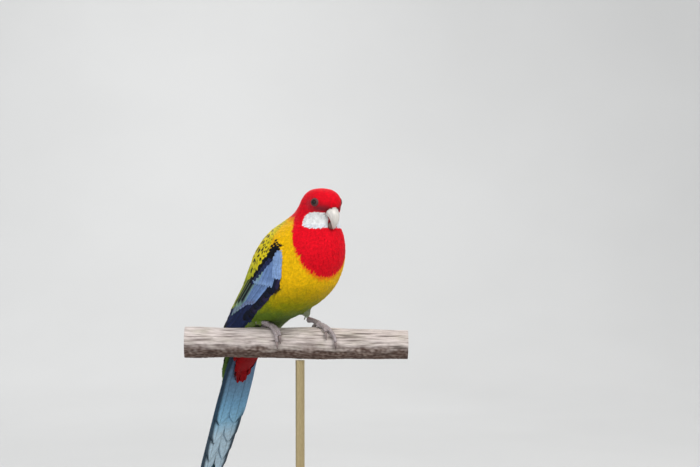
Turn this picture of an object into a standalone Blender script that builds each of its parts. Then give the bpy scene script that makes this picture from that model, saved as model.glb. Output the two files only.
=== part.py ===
"""A life-size eastern rosella, a small Australian parrot, on a cut perch held by a display stand.

The bird faces -Y, +X is its left side and +Z is up. The origin is the centre of the base's underside,
which lies under the middle of the two feet. Lengths are in millimetres here and become metres when an
object is made. Bird heights are measured from the top of the perch.
"""

import math

import bmesh
import bpy
from mathutils import Matrix, Vector

MM = 0.001
GAP = 0.35  # between neighbouring solids

# The stand and the perch
PERCH_TOP = 192.0
PERCH_RADIUS = 13.6
PERCH_LENGTH = 196.0
PERCH_SHIFT = -3.0  # how far the middle of the perch lies along itself from the rod
PERCH_TURN = math.radians(-48.0)  # the bird stands across its perch at this angle
PERCH_SLOPE = math.radians(-0.8)
ROD_RADIUS = 4.0
BASE_RADIUS = 78.0
BASE_HEIGHT = 14.0
BASE_CHAMFER = 2.5
COLLAR_RADIUS, COLLAR_HEIGHT = 9.0, 5.0

# The bird
MIDLINE = -5.0  # x of the bird's plane of symmetry
HEAD_TURN = math.radians(-13.0)  # the head looks a little to the bird's right
HEAD_CENTRE = Vector((MIDLINE, -32.0, 106.0))
EYE_RADIUS = 4.3
EYE_FORWARD, EYE_SIDE, EYE_UP = 4.6, 11.0, 4.4
BILL_ARC_RADIUS = 11.8
BILL_CENTRE = Vector((0.0, -8.0, -9.0))  # of the culmen's arc, from the head's centre
BILL_ROOT, BILL_TIP = math.radians(53.0), math.radians(-56.0)  # along that arc
BILL_HALF_WIDTH = 5.7
TAIL_ROOT = Vector((MIDLINE, 57.6, 0.0))
TAIL_LEAN = math.radians(18.9)  # from straight down
TAIL_LENGTH = 170.0
TAIL_HALF_WIDTH = 19.8
TAIL_SWAY = 3.6  # how far the tail is held to the bird's right
TAIL_FEATHERS = 6  # on each side
OUTER_TAIL_SHARE = 0.56  # length of the outermost feather over the middle one's
BLADE = 0.8  # thickness of one tail feather
BLADE_PITCH = BLADE + GAP
BLADE_WIDTH = 20.5
TAIL_OVERLAP = 12.0  # how far each of the middle pair reaches to its own side
TAIL_START, TAIL_STEP = 14.0, 1.0  # where the first feather starts along the tail, and each next one
COVERTS_EDGE = 0.9
COVERTS = {  # start along the tail, length, greatest thickness, half width, above (1) or below (-1) it
    "uppertail_coverts": (15.0, 46.0, 7.5, 13.5, 1.0),
    "undertail_coverts": (4.0, 43.0, 11.0, 13.5, -1.0),
}
WING_THICKNESS = 5.0
WING_EDGE = 0.9
TOE_RADIUS = 1.9
TARSUS_RADIUS = 2.3
TOE_SPLAY = 1.8  # above 1, the toes spread first and then run straight round the perch
CLAW_LENGTH, CLAW_DRIFT = 7.0, 0.6

# Sections of the bird with its wings closed, level slices from the root of the tail to the crown:
# height, front, back, half width, how square the back is, how much wider the front half is than the
# back, share of HEAD_TURN
SECTIONS = (
    (-30.0, 48.0, 72.0, 16.0, 0.8, -0.06, 0.0),
    (-17.0, 37.0, 74.5, 20.5, 1.6, -0.1, 0.0),
    (-6.0, 28.0, 74.6, 22.5, 2.0, -0.1, 0.0),
    (5.0, 14.3, 70.2, 24.3, 1.6, -0.06, 0.0),
    (14.0, -6.0, 65.2, 27.7, 1.2, 0.0, 0.0),
    (24.0, -23.0, 59.5, 31.2, 0.8, 0.05, 0.0),
    (36.0, -36.0, 52.6, 33.8, 0.5, 0.08, 0.0),
    (50.0, -44.0, 46.2, 34.8, 0.3, 0.08, 0.0),
    (64.0, -47.6, 40.2, 34.4, 0.15, 0.06, 0.0),
    (78.0, -47.4, 31.0, 32.0, 0.0, 0.03, 0.1),
    (87.0, -45.2, 21.5, 27.0, 0.0, 0.0, 0.3),
    (94.0, -43.5, 10.5, 21.5, 0.0, -0.03, 0.6),
    (100.0, -45.5, 1.0, 18.2, 0.0, -0.06, 0.85),
    (106.5, -49.6, -5.0, 16.4, 0.0, -0.08, 1.0),
    (113.0, -50.0, -9.0, 15.2, 0.0, -0.08, 1.0),
    (118.2, -46.0, -13.5, 12.4, 0.0, -0.05, 1.0),
    (121.4, -39.0, -19.5, 8.2, 0.0, 0.0, 1.0),
    (122.6, -31.0, -27.0, 1.8, 0.0, 0.0, 1.0),
)
TRUNK_START = 0.5  # station where the trunk's own surface begins
WING_TOP = 9.6  # stations of the wing's shoulder and tip
WING_TIP = 0.35

# Where head, neck and trunk part: a point on each cut, and how far the cut rises towards the back
HEAD_CUT = (Vector((MIDLINE, -42.0, 83.0)), math.radians(24.0))
NECK_CUT = (Vector((MIDLINE, -45.0, 75.0)), math.radians(17.0))

# Feet: the bird's left foot stands ahead of the right one along the perch. For each: where the pad
# lies along the perch and round it, and the ankle's offset from the pad. Toes run from the pad to an
# end given the same way: distance along, angle round the perch from its top, towards the breast side.
FEET = {
    "right": {
        "pad": (-28.0, 2.0),
        "ankle": Vector((-3.5, 10.5, 1.4)),
        "toes": {1: (-21.0, -62.0), 2: (-17.5, 58.0), 3: (-20.0, 80.0), 4: (-36.0, -84.0)},
    },
    "left": {
        "pad": (17.0, 4.0),
        "ankle": Vector((1.3, 14.0, 2.6)),
        "toes": {1: (11.0, -58.0), 2: (22.5, 44.0), 3: (31.0, 78.0), 4: (26.0, -104.0)},
    },
}

MATERIALS = {  # colour, roughness, metallic
    "red_plumage": ((0.72, 0.01, 0.015), 0.7, 0.0),
    "yellow_plumage": ((0.85, 0.62, 0.02), 0.7, 0.0),
    "blue_plumage": ((0.18, 0.30, 0.62), 0.65, 0.0),
    "tail_plumage": ((0.22, 0.42, 0.60), 0.6, 0.0),
    "horn": ((0.66, 0.66, 0.64), 0.35, 0.0),
    "eye": ((0.02, 0.012, 0.01), 0.08, 0.0),
    "scaly_skin": ((0.36, 0.32, 0.31), 0.6, 0.0),
    "claw": ((0.12, 0.11, 0.11), 0.35, 0.0),
    "bark": ((0.42, 0.36, 0.31), 0.9, 0.0),
    "brass": ((0.60, 0.50, 0.32), 0.3, 1.0),
    "dark_wood": ((0.12, 0.08, 0.06), 0.45, 0.0),
}


def material(name):
    found = bpy.data.materials.get(name)
    if found:
        return found
    made = bpy.data.materials.new(name)
    made.use_nodes = True
    colour, roughness, metallic = MATERIALS[name]
    shader = made.node_tree.nodes["Principled BSDF"]
    shader.inputs["Base Color"].default_value = (*colour, 1.0)
    shader.inputs["Roughness"].default_value = roughness
    shader.inputs["Metallic"].default_value = metallic
    return made


def add_object(name, points, faces, material_name, smooth=40.0):
    """An object from points in millimetres above the floor and faces, with its faces turned out."""
    mesh = bpy.data.meshes.new(name)
    mesh.from_pydata([tuple(Vector(p) * MM) for p in points], [], faces)
    shape = bmesh.new()
    shape.from_mesh(mesh)
    bmesh.ops.recalc_face_normals(shape, faces=shape.faces)
    shape.to_mesh(mesh)
    shape.free()
    mesh.materials.append(material(material_name))
    mesh.shade_smooth()
    mesh.set_sharp_from_angle(angle=math.radians(smooth))
    made = bpy.data.objects.new(name, mesh)
    bpy.context.scene.collection.objects.link(made)
    return made


def on_perch(point):
    """A point given from the top of the perch, from the floor instead."""
    return Vector((point[0], point[1], point[2] + PERCH_TOP))


def smooth_row(table, station):
    """A row between the table's rows, on a Catmull-Rom curve through them."""
    last = len(table) - 1
    i = min(max(int(math.floor(station)), 0), last - 1)
    u = min(max(station - i, 0.0), 1.0)
    rows = [table[min(max(i + k, 0), last)] for k in (-1, 0, 1, 2)]
    weights = (
        -0.5 * u + u * u - 0.5 * u**3,
        1.0 - 2.5 * u * u + 1.5 * u**3,
        0.5 * u + 2.0 * u * u - 1.5 * u**3,
        -0.5 * u * u + 0.5 * u**3,
    )
    return [sum(w * row[c] for w, row in zip(weights, rows)) for c in range(len(table[0]))]


def turned(point, share):
    """The point carried round the head's axis by a share of HEAD_TURN."""
    turn = Matrix.Rotation(HEAD_TURN * share, 3, "Z")
    pivot = Vector((HEAD_CENTRE.x, HEAD_CENTRE.y, 0.0))
    return pivot + turn @ (Vector(point) - pivot)


def plumage_point(station, angle, lift=0.0):
    """A point of the closed bird's surface. The angle runs from 0 at the breast through 90 degrees at
    the bird's right side to 180 degrees at the back."""
    height, front, back, half, square, egg, turn = smooth_row(SECTIONS, station)
    middle, reach = (front + back) / 2, (back - front) / 2
    width = (half + lift) * (1.0 + egg * math.cos(angle))
    power = 1.0 if math.cos(angle) > 0 else 2.0 / (2.0 + square)
    sideways = math.copysign(abs(math.sin(angle)) ** power, math.sin(angle))
    forward = math.copysign(abs(math.cos(angle)) ** power, math.cos(angle))
    return turned((MIDLINE - width * sideways, middle - (reach + lift) * forward, height), turn)


def halves(a, b, c, d):
    """A quad's two triangles, split the same way on a shape and on the larger one that clears it."""
    return [(a, b, c), (a, c, d)]


def loft(rings):
    """(points, faces) of a tube through rings with the same number of points each. A cap is a fan."""
    count = len(rings[0])
    points = [p for ring in rings for p in ring]
    faces = []
    for i in range(len(rings) - 1):
        for j in range(count):
            k = (j + 1) % count
            faces += halves(i * count + j, i * count + k, (i + 1) * count + k, (i + 1) * count + j)
    for start in (0, (len(rings) - 1) * count):
        middle = sum((Vector(points[start + j]) for j in range(count)), Vector()) / count
        points.append(middle)
        faces += [(start + j, start + (j + 1) % count, len(points) - 1) for j in range(count)]
    return points, faces


def tube(path, radii, sides=8, flat=1.0):
    """(points, faces) of a round tube along a path. flat squeezes it along the frames' second axis."""
    path = [Vector(p) for p in path]
    rings, side = [], None
    for i, p in enumerate(path):
        ahead = (path[min(i + 1, len(path) - 1)] - path[max(i - 1, 0)]).normalized()
        if side is None:
            side = ahead.orthogonal().normalized()
        side = (side - ahead * side.dot(ahead)).normalized()
        up = ahead.cross(side)
        angles = [2 * math.pi * j / sides for j in range(sides)]
        rings.append([p + radii[i] * (math.cos(a) * side + flat * math.sin(a) * up) for a in angles])
    return loft(rings)


def curve_through(points, steps):
    """Points along a smooth curve through a few given ones."""
    rows = [tuple(p) for p in points]
    spans = len(rows) - 1
    return [Vector(smooth_row(rows, spans * k / steps)) for k in range(steps + 1)]


def boolean(target, tool, operation):
    """Applies a Boolean at once, so that the next one starts from its result. The exact solver leaves
    edges with four faces where two cuts just touch, so the cuts take the other one."""
    modifier = target.modifiers.new(operation.lower(), "BOOLEAN")
    modifier.operation = operation
    modifier.solver = "EXACT" if operation == "UNION" else "MANIFOLD"
    if operation == "UNION":
        modifier.use_self = True
    modifier.object = tool
    graph = bpy.context.evaluated_depsgraph_get()
    result = bpy.data.meshes.new_from_object(target.evaluated_get(graph))
    target.modifiers.clear()
    target.data = result


def union(target, others):
    shape = bmesh.new()
    for other in others:
        shape.from_mesh(other.data)
    shape.to_mesh(others[0].data)
    shape.free()
    boolean(target, others[0], "UNION")
    for other in others:
        bpy.data.objects.remove(other)


def cut_clear(target, make_tool, *details):
    """Cuts from the target a shape made larger all round by the gap."""
    tool = make_tool(*details, grow=GAP)
    boolean(target, tool, "DIFFERENCE")
    bpy.data.objects.remove(tool)


def drop_crumbs(target):
    """Keeps only the largest piece, after cuts that left small crumbs."""
    shape = bmesh.new()
    shape.from_mesh(target.data)
    left, pieces = set(shape.verts), []
    while left:
        piece, edge_of = set(), [left.pop()]
        while edge_of:
            vertex = edge_of.pop()
            piece.add(vertex)
            for edge in vertex.link_edges:
                other = edge.other_vert(vertex)
                if other in left:
                    left.discard(other)
                    edge_of.append(other)
        pieces.append(piece)
    pieces.sort(key=len)
    bmesh.ops.delete(shape, geom=[v for piece in pieces[:-1] for v in piece], context="VERTS")
    shape.to_mesh(target.data)
    shape.free()


def keep_side(target, point, normal):
    """Keeps what lies on the normal's side of a plane through the point, and closes the cut."""
    shape = bmesh.new()
    shape.from_mesh(target.data)
    everything = shape.verts[:] + shape.edges[:] + shape.faces[:]
    cut = bmesh.ops.bisect_plane(
        shape, geom=everything, dist=1e-7, plane_co=point * MM, plane_no=normal, clear_inner=True
    )
    rim = [e for e in cut["geom_cut"] if isinstance(e, bmesh.types.BMEdge)]
    bmesh.ops.edgeloop_fill(shape, edges=rim)
    bmesh.ops.recalc_face_normals(shape, faces=shape.faces)
    shape.to_mesh(target.data)
    shape.free()


def copy_of(source, name, material_name):
    made = source.copy()
    made.data = source.data.copy()
    made.name = name
    made.data.materials.clear()
    made.data.materials.append(material(material_name))
    bpy.context.scene.collection.objects.link(made)
    return made


# ---------------------------------------------------------------- perch and stand


def perch_frame():
    """The perch's axis, the level direction across it towards the bird's tail, and its own up."""
    along = Vector((math.cos(PERCH_TURN), math.sin(PERCH_TURN), math.tan(PERCH_SLOPE))).normalized()
    across = Vector((-math.sin(PERCH_TURN), math.cos(PERCH_TURN), 0.0))
    return along, across, along.cross(across)


def perch_radius(distance, angle):
    """The branch swells and waists a little, and is never quite round."""
    swell = 0.035 * math.sin(distance / 19.0 + 0.8) + 0.02 * math.sin(distance / 8.3)
    oval = 0.03 * math.cos(2 * angle + distance / 60.0) + 0.015 * math.cos(3 * angle - distance / 31.0)
    return PERCH_RADIUS * (1.0 + swell + oval)


def perch_point(distance, degrees, height):
    """A point from the top of the perch: distance along it from the rod, the angle round it from its
    top, positive towards the breast side, and the height above its surface."""
    along, across, up = perch_frame()
    angle = math.radians(degrees)
    top = perch_radius(0.0, 0.0)
    reach = perch_radius(distance, angle) + height
    axis = along * distance - up * top
    return axis + up * (reach * math.cos(angle)) - across * (reach * math.sin(angle))


def add_perch(grow=0.0):
    sides, rings = 16, 15
    made = []
    for i in range(rings + 1):
        distance = PERCH_SHIFT + PERCH_LENGTH * (i / rings - 0.5)
        ring = [on_perch(perch_point(distance, 360.0 * j / sides, grow)) for j in range(sides)]
        made.append(ring)
    return add_object("perch", *loft(made), "bark")


def add_stand():
    spots = [perch_point(d, 180.0 + a, 0.0) for d in (-4.0, 0.0, 4.0) for a in (-10.0, 0.0, 10.0)]
    underside = PERCH_TOP + min(spot.z for spot in spots)
    base_rings = (
        (BASE_RADIUS, 0.0),
        (BASE_RADIUS, BASE_HEIGHT - BASE_CHAMFER),
        (BASE_RADIUS - BASE_CHAMFER, BASE_HEIGHT),
    )
    collar_rings = (
        (COLLAR_RADIUS, BASE_HEIGHT + GAP),
        (COLLAR_RADIUS, BASE_HEIGHT + GAP + COLLAR_HEIGHT - 1.5),
        (ROD_RADIUS + 2.0, BASE_HEIGHT + GAP + COLLAR_HEIGHT),
        (ROD_RADIUS, BASE_HEIGHT + GAP + COLLAR_HEIGHT),
        (ROD_RADIUS, underside - GAP),
    )
    for name, rings, sides, finish in (
        ("stand_base", base_rings, 48, "dark_wood"),
        ("stand_rod", collar_rings, 16, "brass"),
    ):
        made = []
        for radius, height in rings:
            angles = [2 * math.pi * j / sides for j in range(sides)]
            made.append([Vector((radius * math.cos(a), radius * math.sin(a), height)) for a in angles])
        add_object(name, *loft(made), finish)


# ---------------------------------------------------------------- head, neck and trunk


def add_body():
    """The closed bird without its wings cut in, from the root of the tail to the crown."""
    sides, rings = 28, 32
    made = []
    last = len(SECTIONS) - 1
    for i in range(rings + 1):
        share = i / rings
        station = TRUNK_START + (last - TRUNK_START) * share
        angles = [2 * math.pi * (j + 0.5) / sides for j in range(sides)]
        made.append([on_perch(plumage_point(station, a)) for a in angles])
    return add_object("body", *loft(made), "yellow_plumage")


def cut_plane(cut, offset):
    """(point, upward normal) of a parting plane moved along its normal."""
    point, rise = cut
    normal = Vector((0.0, -math.sin(rise), math.cos(rise)))
    return on_perch(point) + normal * offset, normal


def part_body(body):
    """Head, neck and trunk, with thin cuts between them."""
    head = copy_of(body, "head", "red_plumage")
    neck = copy_of(body, "neck", "red_plumage")
    trunk = copy_of(body, "trunk", "yellow_plumage")
    bpy.data.objects.remove(body)
    above, below = cut_plane(HEAD_CUT, GAP / 2), cut_plane(HEAD_CUT, -GAP / 2)
    keep_side(head, *above)
    keep_side(neck, below[0], -below[1])
    above, below = cut_plane(NECK_CUT, GAP / 2), cut_plane(NECK_CUT, -GAP / 2)
    keep_side(neck, *above)
    keep_side(trunk, below[0], -below[1])
    return head, neck, trunk


def head_point(offset):
    """A point given from the head's centre as if it looked along -Y, from the floor."""
    return on_perch(turned(HEAD_CENTRE + Vector(offset), 1.0))


def add_eye(side, grow=0.0):
    """A ball set in the side of the head."""
    sign = 1.0 if side == "left" else -1.0
    shape = bmesh.new()
    bmesh.ops.create_uvsphere(shape, u_segments=12, v_segments=8, radius=EYE_RADIUS + grow)
    centre = head_point((sign * EYE_SIDE, -EYE_FORWARD, EYE_UP))
    look = (head_point((sign * 20.0, -EYE_FORWARD - 3.0, EYE_UP + 0.5)) - centre).to_track_quat("Z", "Y")
    points = [centre + look @ v.co for v in shape.verts]
    faces = [tuple(v.index for v in f.verts) for f in shape.faces]
    shape.free()
    return add_object(f"eye_{side}", points, faces, "eye", smooth=80.0)


def add_bill_upper(grow=0.0):
    """A hooked horn: sections across an arc that starts at the forehead and ends in the tip."""
    steps, sides = 12, 10
    rings = []
    for i in range(steps + 1):
        share = i / steps
        angle = BILL_ROOT + (BILL_TIP - BILL_ROOT) * share
        outward = Vector((0.0, -math.cos(angle), math.sin(angle)))
        depth = 9.8 * (1.0 - share) ** 0.5 + 1.0 + 2 * grow
        half = BILL_HALF_WIDTH * (1.0 - share**1.6) ** 0.75 + 0.5 + grow
        ridge = BILL_CENTRE + outward * (BILL_ARC_RADIUS + grow)
        ring = []
        for j in range(sides):
            turn = 2 * math.pi * j / sides
            inward = depth * (0.5 - 0.5 * math.cos(turn))
            ring.append(head_point(ridge - outward * inward + Vector((half * math.sin(turn), 0.0, 0.0))))
        rings.append(ring)
    return add_object("bill_upper", *loft(rings), "horn", smooth=60.0)


def add_bill_lower(grow=0.0):
    """A short scoop under the upper bill, rising to a blunt edge in front."""
    path = curve_through([(0, -3.0, -13.5), (0, -7.5, -15.5), (0, -11.5, -15.2), (0, -14.0, -12.6)], 8)
    radii = [4.6 - 0.05 * k - 0.045 * k * k + grow for k in range(len(path))]
    points, faces = tube(path, radii, sides=10)
    return add_object("bill_lower", [head_point(p) for p in points], faces, "horn", smooth=60.0)


# ---------------------------------------------------------------- wings and tail


def wing_edges(share):
    """Angles of a folded wing's front edge and back edge, from its shoulder (0) to its tip (1)."""
    edges = (
        (99.0, 138.0),
        (79.0, 156.0),
        (69.0, 166.0),
        (60.0, 171.0),
        (59.0, 175.0),
        (68.0, 177.0),
        (76.0, 177.0),
        (92.0, 175.0),
        (124.0, 169.0),
    )
    front, back = smooth_row(edges, share * (len(edges) - 1))
    return math.radians(front), math.radians(back)


def add_wing(side, grow=0.0):
    """A folded wing: a curved shell that lies on the flank from the shoulder to the primaries' tips."""
    lengths, widths = 16, 7
    outer, inner = [], []
    for i in range(lengths + 1):
        share = i / lengths
        station = WING_TOP + (WING_TIP - WING_TOP) * share + grow / 13.0 * (1.0 - 2.0 * share)
        front, back = wing_edges(share)
        front, back = front - grow / 30.0, back + grow / 30.0
        fullness = min(1.0, 4.0 * share + 0.25) * (1.0 - 0.72 * share**2)
        for j in range(widths + 1):
            across = j / widths
            angle = front + (back - front) * across
            crown = math.sin(math.pi * across) ** 0.5 if 0 < j < widths else 0.0
            depth = WING_EDGE + (WING_THICKNESS - WING_EDGE) * crown * fullness
            lift = 0.9 * (1.0 - across) ** 2
            outer.append(plumage_point(station, angle, lift + 4 * grow))  # clears the body's flat facets
            inner.append(plumage_point(station, angle, lift - depth - grow))
    count = (lengths + 1) * (widths + 1)
    row = widths + 1
    faces = []
    for i in range(lengths):
        for j in range(widths):
            a = i * row + j
            faces += halves(a, a + 1, a + row + 1, a + row)
            faces += halves(*(count + k for k in (a, a + 1, a + row + 1, a + row)))
    rim = [j for j in range(widths)] + [i * row + widths for i in range(lengths)]
    rim += [lengths * row + j for j in range(widths, 0, -1)] + [i * row for i in range(lengths, 0, -1)]
    for k, a in enumerate(rim):
        b = rim[(k + 1) % len(rim)]
        faces += halves(a, b, count + b, count + a)
    points = outer + inner
    if side == "left":
        points = [Vector((2 * MIDLINE - p.x, p.y, p.z)) for p in points]
    return add_object(f"wing_{side}", [on_perch(p) for p in points], faces, "blue_plumage")


def tail_point(across, along, depth):
    """A point of the tail: sideways from its middle, along it from its root, and above its top face."""
    across -= TAIL_SWAY * min(1.0, along / 40.0)
    down = Vector((0.0, math.sin(TAIL_LEAN), -math.cos(TAIL_LEAN)))
    out = Vector((0.0, math.cos(TAIL_LEAN), math.sin(TAIL_LEAN)))
    return on_perch(TAIL_ROOT + Vector((across, 0.0, 0.0)) + down * along + out * depth)


def tail_length(rank):
    """Length of a tail feather, from the middle pair (0) to the outermost (TAIL_FEATHERS - 1)."""
    share = rank / (TAIL_FEATHERS - 1)
    return TAIL_LENGTH * (1.0 - (1.0 - OUTER_TAIL_SHARE) * share**1.35)


def tail_depth(level):
    """How far the upper face of a tail feather lies below that of the topmost one."""
    return -BLADE_PITCH * level


def add_tail_feather(side, rank):
    """A flat blade with a rounded end. The middle pair overlaps, and each later rank lies below the
    one before it and further out."""
    sign = 1.0 if side == "left" else -1.0
    if rank == 0:
        inner, outer = TAIL_OVERLAP - BLADE_WIDTH, TAIL_OVERLAP
        level = 0 if side == "left" else 1
    else:
        outer = TAIL_HALF_WIDTH * (0.70 + 0.30 * (rank / (TAIL_FEATHERS - 1)) ** 0.8)
        inner = max(outer - BLADE_WIDTH, GAP / 2)
        level = rank + 1
    length, steps, round_from = tail_length(rank), 9, 0.80
    rings = []
    for i in range(steps + 1):
        share = (i / steps) ** 0.8
        closing = max(0.0, (share - round_from) / (1.0 - round_from))
        narrow = math.sqrt(max(1.0 - closing**2.2, 0.0)) * 0.92 + 0.08
        spread = 0.86 + 0.14 * min(1.0, 2.5 * share)
        middle, half = spread * (inner + outer) / 2, narrow * spread * (outer - inner) / 2
        if rank:
            half = min(half, middle - GAP / 2)
        top, start = tail_depth(level), TAIL_START + TAIL_STEP * level
        corners = (
            (middle - half, top - BLADE),
            (middle + half, top - BLADE),
            (middle + half, top),
            (middle - half, top),
        )
        along = start + (length - start) * share
        rings.append([tail_point(sign * x, along, depth) for x, depth in corners])
    return add_object(f"tail_{side}_{rank + 1}", *loft(rings), "tail_plumage")


def add_tail():
    """The middle pair lies on top, and the others step down and outwards below it on each side."""
    return [add_tail_feather(side, rank) for side in ("left", "right") for rank in range(TAIL_FEATHERS)]


def add_tail_socket(grow=0.0):
    """The room the whole tail takes inside the trunk, as a tool."""
    low = tail_depth(TAIL_FEATHERS) - BLADE - grow
    half = TAIL_HALF_WIDTH + grow
    rings = []
    for along, shrink in ((TAIL_START - 4.0, 0.86), (60.0, 1.0)):
        corners = ((-half, low), (half, low), (half, grow), (-half, grow))
        rings.append([tail_point(x * shrink, along, depth) for x, depth in corners])
    return add_object("socket", *loft(rings), "tail_plumage")


def add_coverts(name, grow=0.0):
    """A soft lobe of short feathers over or under the root of the tail. Its end is notched."""
    start, length, thick, half_width, out = COVERTS[name]
    base = GAP if out > 0 else tail_depth(TAIL_FEATHERS) - BLADE - GAP
    sides, steps = 12, 9
    rings = []
    for i in range(steps + 1):
        share = i / steps
        depth = thick * (1.0 - share**1.7) + COVERTS_EDGE + 2 * grow
        half = half_width * math.sqrt(max(1.0 - share**3, 0.0)) + 1.5 + grow
        ring = []
        for j in range(sides):
            turn = 2 * math.pi * (j + 0.5) / sides
            height = base - out * grow + out * depth * (0.5 - 0.5 * math.cos(turn))
            notch = -5.0 * share**4 * (1.0 - abs(math.sin(turn)))
            ring.append(tail_point(half * math.sin(turn), start + length * share + notch, height))
        rings.append(ring)
    return add_object(name, *loft(rings), "red_plumage" if out < 0 else "yellow_plumage")


# ---------------------------------------------------------------- legs


def ankle_and_pad(side):
    pad_along, pad_angle = FEET[side]["pad"]
    pad = perch_point(pad_along, pad_angle, TARSUS_RADIUS + 2 * GAP)
    return pad + FEET[side]["ankle"], pad


def add_tarsus(side, grow=0.0):
    """The scaly shank between the ankle and the pad of the foot, thickened at both ends."""
    ankle, pad = ankle_and_pad(side)
    path = curve_through([ankle, (ankle + pad) / 2 + Vector((0, 0, 0.8)), pad], 6)
    radii = [TARSUS_RADIUS * thick + grow for thick in (1.25, 1.1, 0.95, 0.92, 0.95, 1.08, 1.04)]
    return add_object(f"foot_{side}", *tube([on_perch(p) for p in path], radii), "scaly_skin", smooth=60.0)


def toe_path(side, digit):
    """Centres and radii along a toe, from the pad round the perch to the root of its claw."""
    pad_along, pad_angle = FEET[side]["pad"]
    end_along, end_angle = FEET[side]["toes"][digit]
    steps = 7
    spots, radii = [], []
    for k in range(steps + 1):
        share = k / steps
        radius = TOE_RADIUS * (1.12 - 0.32 * share + 0.07 * math.cos(6 * math.pi * share) - 0.012 * digit)
        bend = share - 0.02 * digit * (1.0 - share)  # each toe starts at its own spot in the pad
        along = pad_along + (end_along - pad_along) * (1.0 - (1.0 - bend) ** TOE_SPLAY)
        angle = pad_angle + (end_angle - pad_angle) * bend
        spots.append(perch_point(along, angle, radius + GAP + 0.25 * math.sin(math.pi * share)))
        radii.append(radius)
    return spots, radii


def add_toe_room(side, grow=0.0):
    """A sleeve round the perch a little deeper than the toes are thick, as a tool."""
    ends = [along for along, angle in FEET[side]["toes"].values()]
    start, stop, sides = min(ends) - 2.5, max(ends) + 2.5, 16
    rings = []
    for k in range(4):
        distance = start + (stop - start) * k / 3
        height = 2.5 * TOE_RADIUS + GAP + grow
        turns = [360.0 * (j + 0.5) / sides for j in range(sides)]
        rings.append([on_perch(perch_point(distance, turn, height)) for turn in turns])
    return add_object("room", *loft(rings), "scaly_skin")


def add_foot(side):
    """Tarsus, pad and four toes in one piece: two toes grip the front of the perch and two the back."""
    foot = add_tarsus(side)
    toes = []
    for digit in FEET[side]["toes"]:
        spots, radii = toe_path(side, digit)
        toes.append(add_object("toe", *tube([on_perch(p) for p in spots], radii, sides=7), "scaly_skin"))
    union(foot, toes)
    return foot


def add_claw(side, digit):
    """A curved, pointed claw that carries on from the end of its toe, round the perch."""
    pad_along, pad_angle = FEET[side]["pad"]
    end_along, end_angle = FEET[side]["toes"][digit]
    toe_radius = toe_path(side, digit)[1][-1]
    onward = math.copysign(1.0, end_angle - pad_angle)
    steps = 6
    spots, radii = [], []
    for k in range(steps + 1):
        share = k / steps
        reach = 1.5 * GAP + CLAW_LENGTH * share
        angle = end_angle + onward * math.degrees(reach / (PERCH_RADIUS + toe_radius))
        along = end_along + CLAW_DRIFT * share * math.copysign(1.0, end_along - pad_along)
        height = GAP + toe_radius - (toe_radius - 0.4) * share**1.4 + 0.6 * math.sin(math.pi * share)
        spots.append(on_perch(perch_point(along, angle, height)))
        radii.append(0.25 + (0.8 * toe_radius - 0.25) * (1.0 - share) ** 0.8)
    return add_object(f"claw_{side}_{digit}", *tube(spots, radii, sides=6), "claw", smooth=60.0)


def add_thigh(side, grow=0.0):
    """The feathered leg above the ankle, tapering out of the belly."""
    sign = 1.0 if side == "left" else -1.0
    ankle = ankle_and_pad(side)[0]
    hip = Vector((MIDLINE + sign * 11.0, ankle.y + 2.0, 24.0))
    knee = ankle + (hip - ankle).normalized() * (1.25 * TARSUS_RADIUS + GAP - grow)
    path = curve_through([knee, knee.lerp(hip, 0.4), hip], 5)
    radii = [r + grow for r in (2.8, 3.9, 5.0, 6.2, 7.0, 6.0)]
    made = tube([on_perch(p) for p in path], radii, sides=10)
    return add_object(f"thigh_{side}", *made, "yellow_plumage")


# ---------------------------------------------------------------- the model


def main():
    for old in list(bpy.data.objects):
        bpy.data.objects.remove(old)
    add_perch()
    add_stand()
    add_tail()
    coverts = [add_coverts(name) for name in COVERTS]
    cut_clear(coverts[1], add_perch)
    head, neck, trunk = part_body(add_body())
    bill_lower = add_bill_lower()
    add_bill_upper()
    cut_clear(bill_lower, add_bill_upper)
    cut_clear(head, add_bill_upper)
    cut_clear(head, add_bill_lower)
    cut_clear(trunk, add_tail_socket)
    cut_clear(trunk, add_perch)
    for name in COVERTS:
        cut_clear(trunk, add_coverts, name)
    for side in ("left", "right"):
        add_eye(side)
        cut_clear(head, add_eye, side)
        add_wing(side)
        cut_clear(trunk, add_wing, side)
        for lobe in coverts:
            cut_clear(lobe, add_wing, side)
        add_foot(side)
        for digit in FEET[side]["toes"]:
            add_claw(side, digit)
        thigh = add_thigh(side)
        cut_clear(thigh, add_tarsus, side)
        cut_clear(thigh, add_perch)
        cut_clear(thigh, add_wing, side)
        cut_clear(trunk, add_thigh, side)
        cut_clear(trunk, add_tarsus, side)
    cut_clear(trunk, add_toe_room, "right")
    for body_part in (head, trunk):
        drop_crumbs(body_part)


main()
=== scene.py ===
"""Looks of a life-size museum model: an eastern rosella that grips its perch, on a display stand.

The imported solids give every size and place. One skin stands for the solids of flesh and lies inside
them by the depth of the plumage. Every feather is a thin vane of mesh over it, which follows the lie
of the coat. Lengths are in millimetres up to the point where a mesh is made.
"""

import math

import bmesh
import bpy
import numpy as np
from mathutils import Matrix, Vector, noise
from mathutils.bvhtree import BVHTree
from mathutils.kdtree import KDTree


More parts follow.
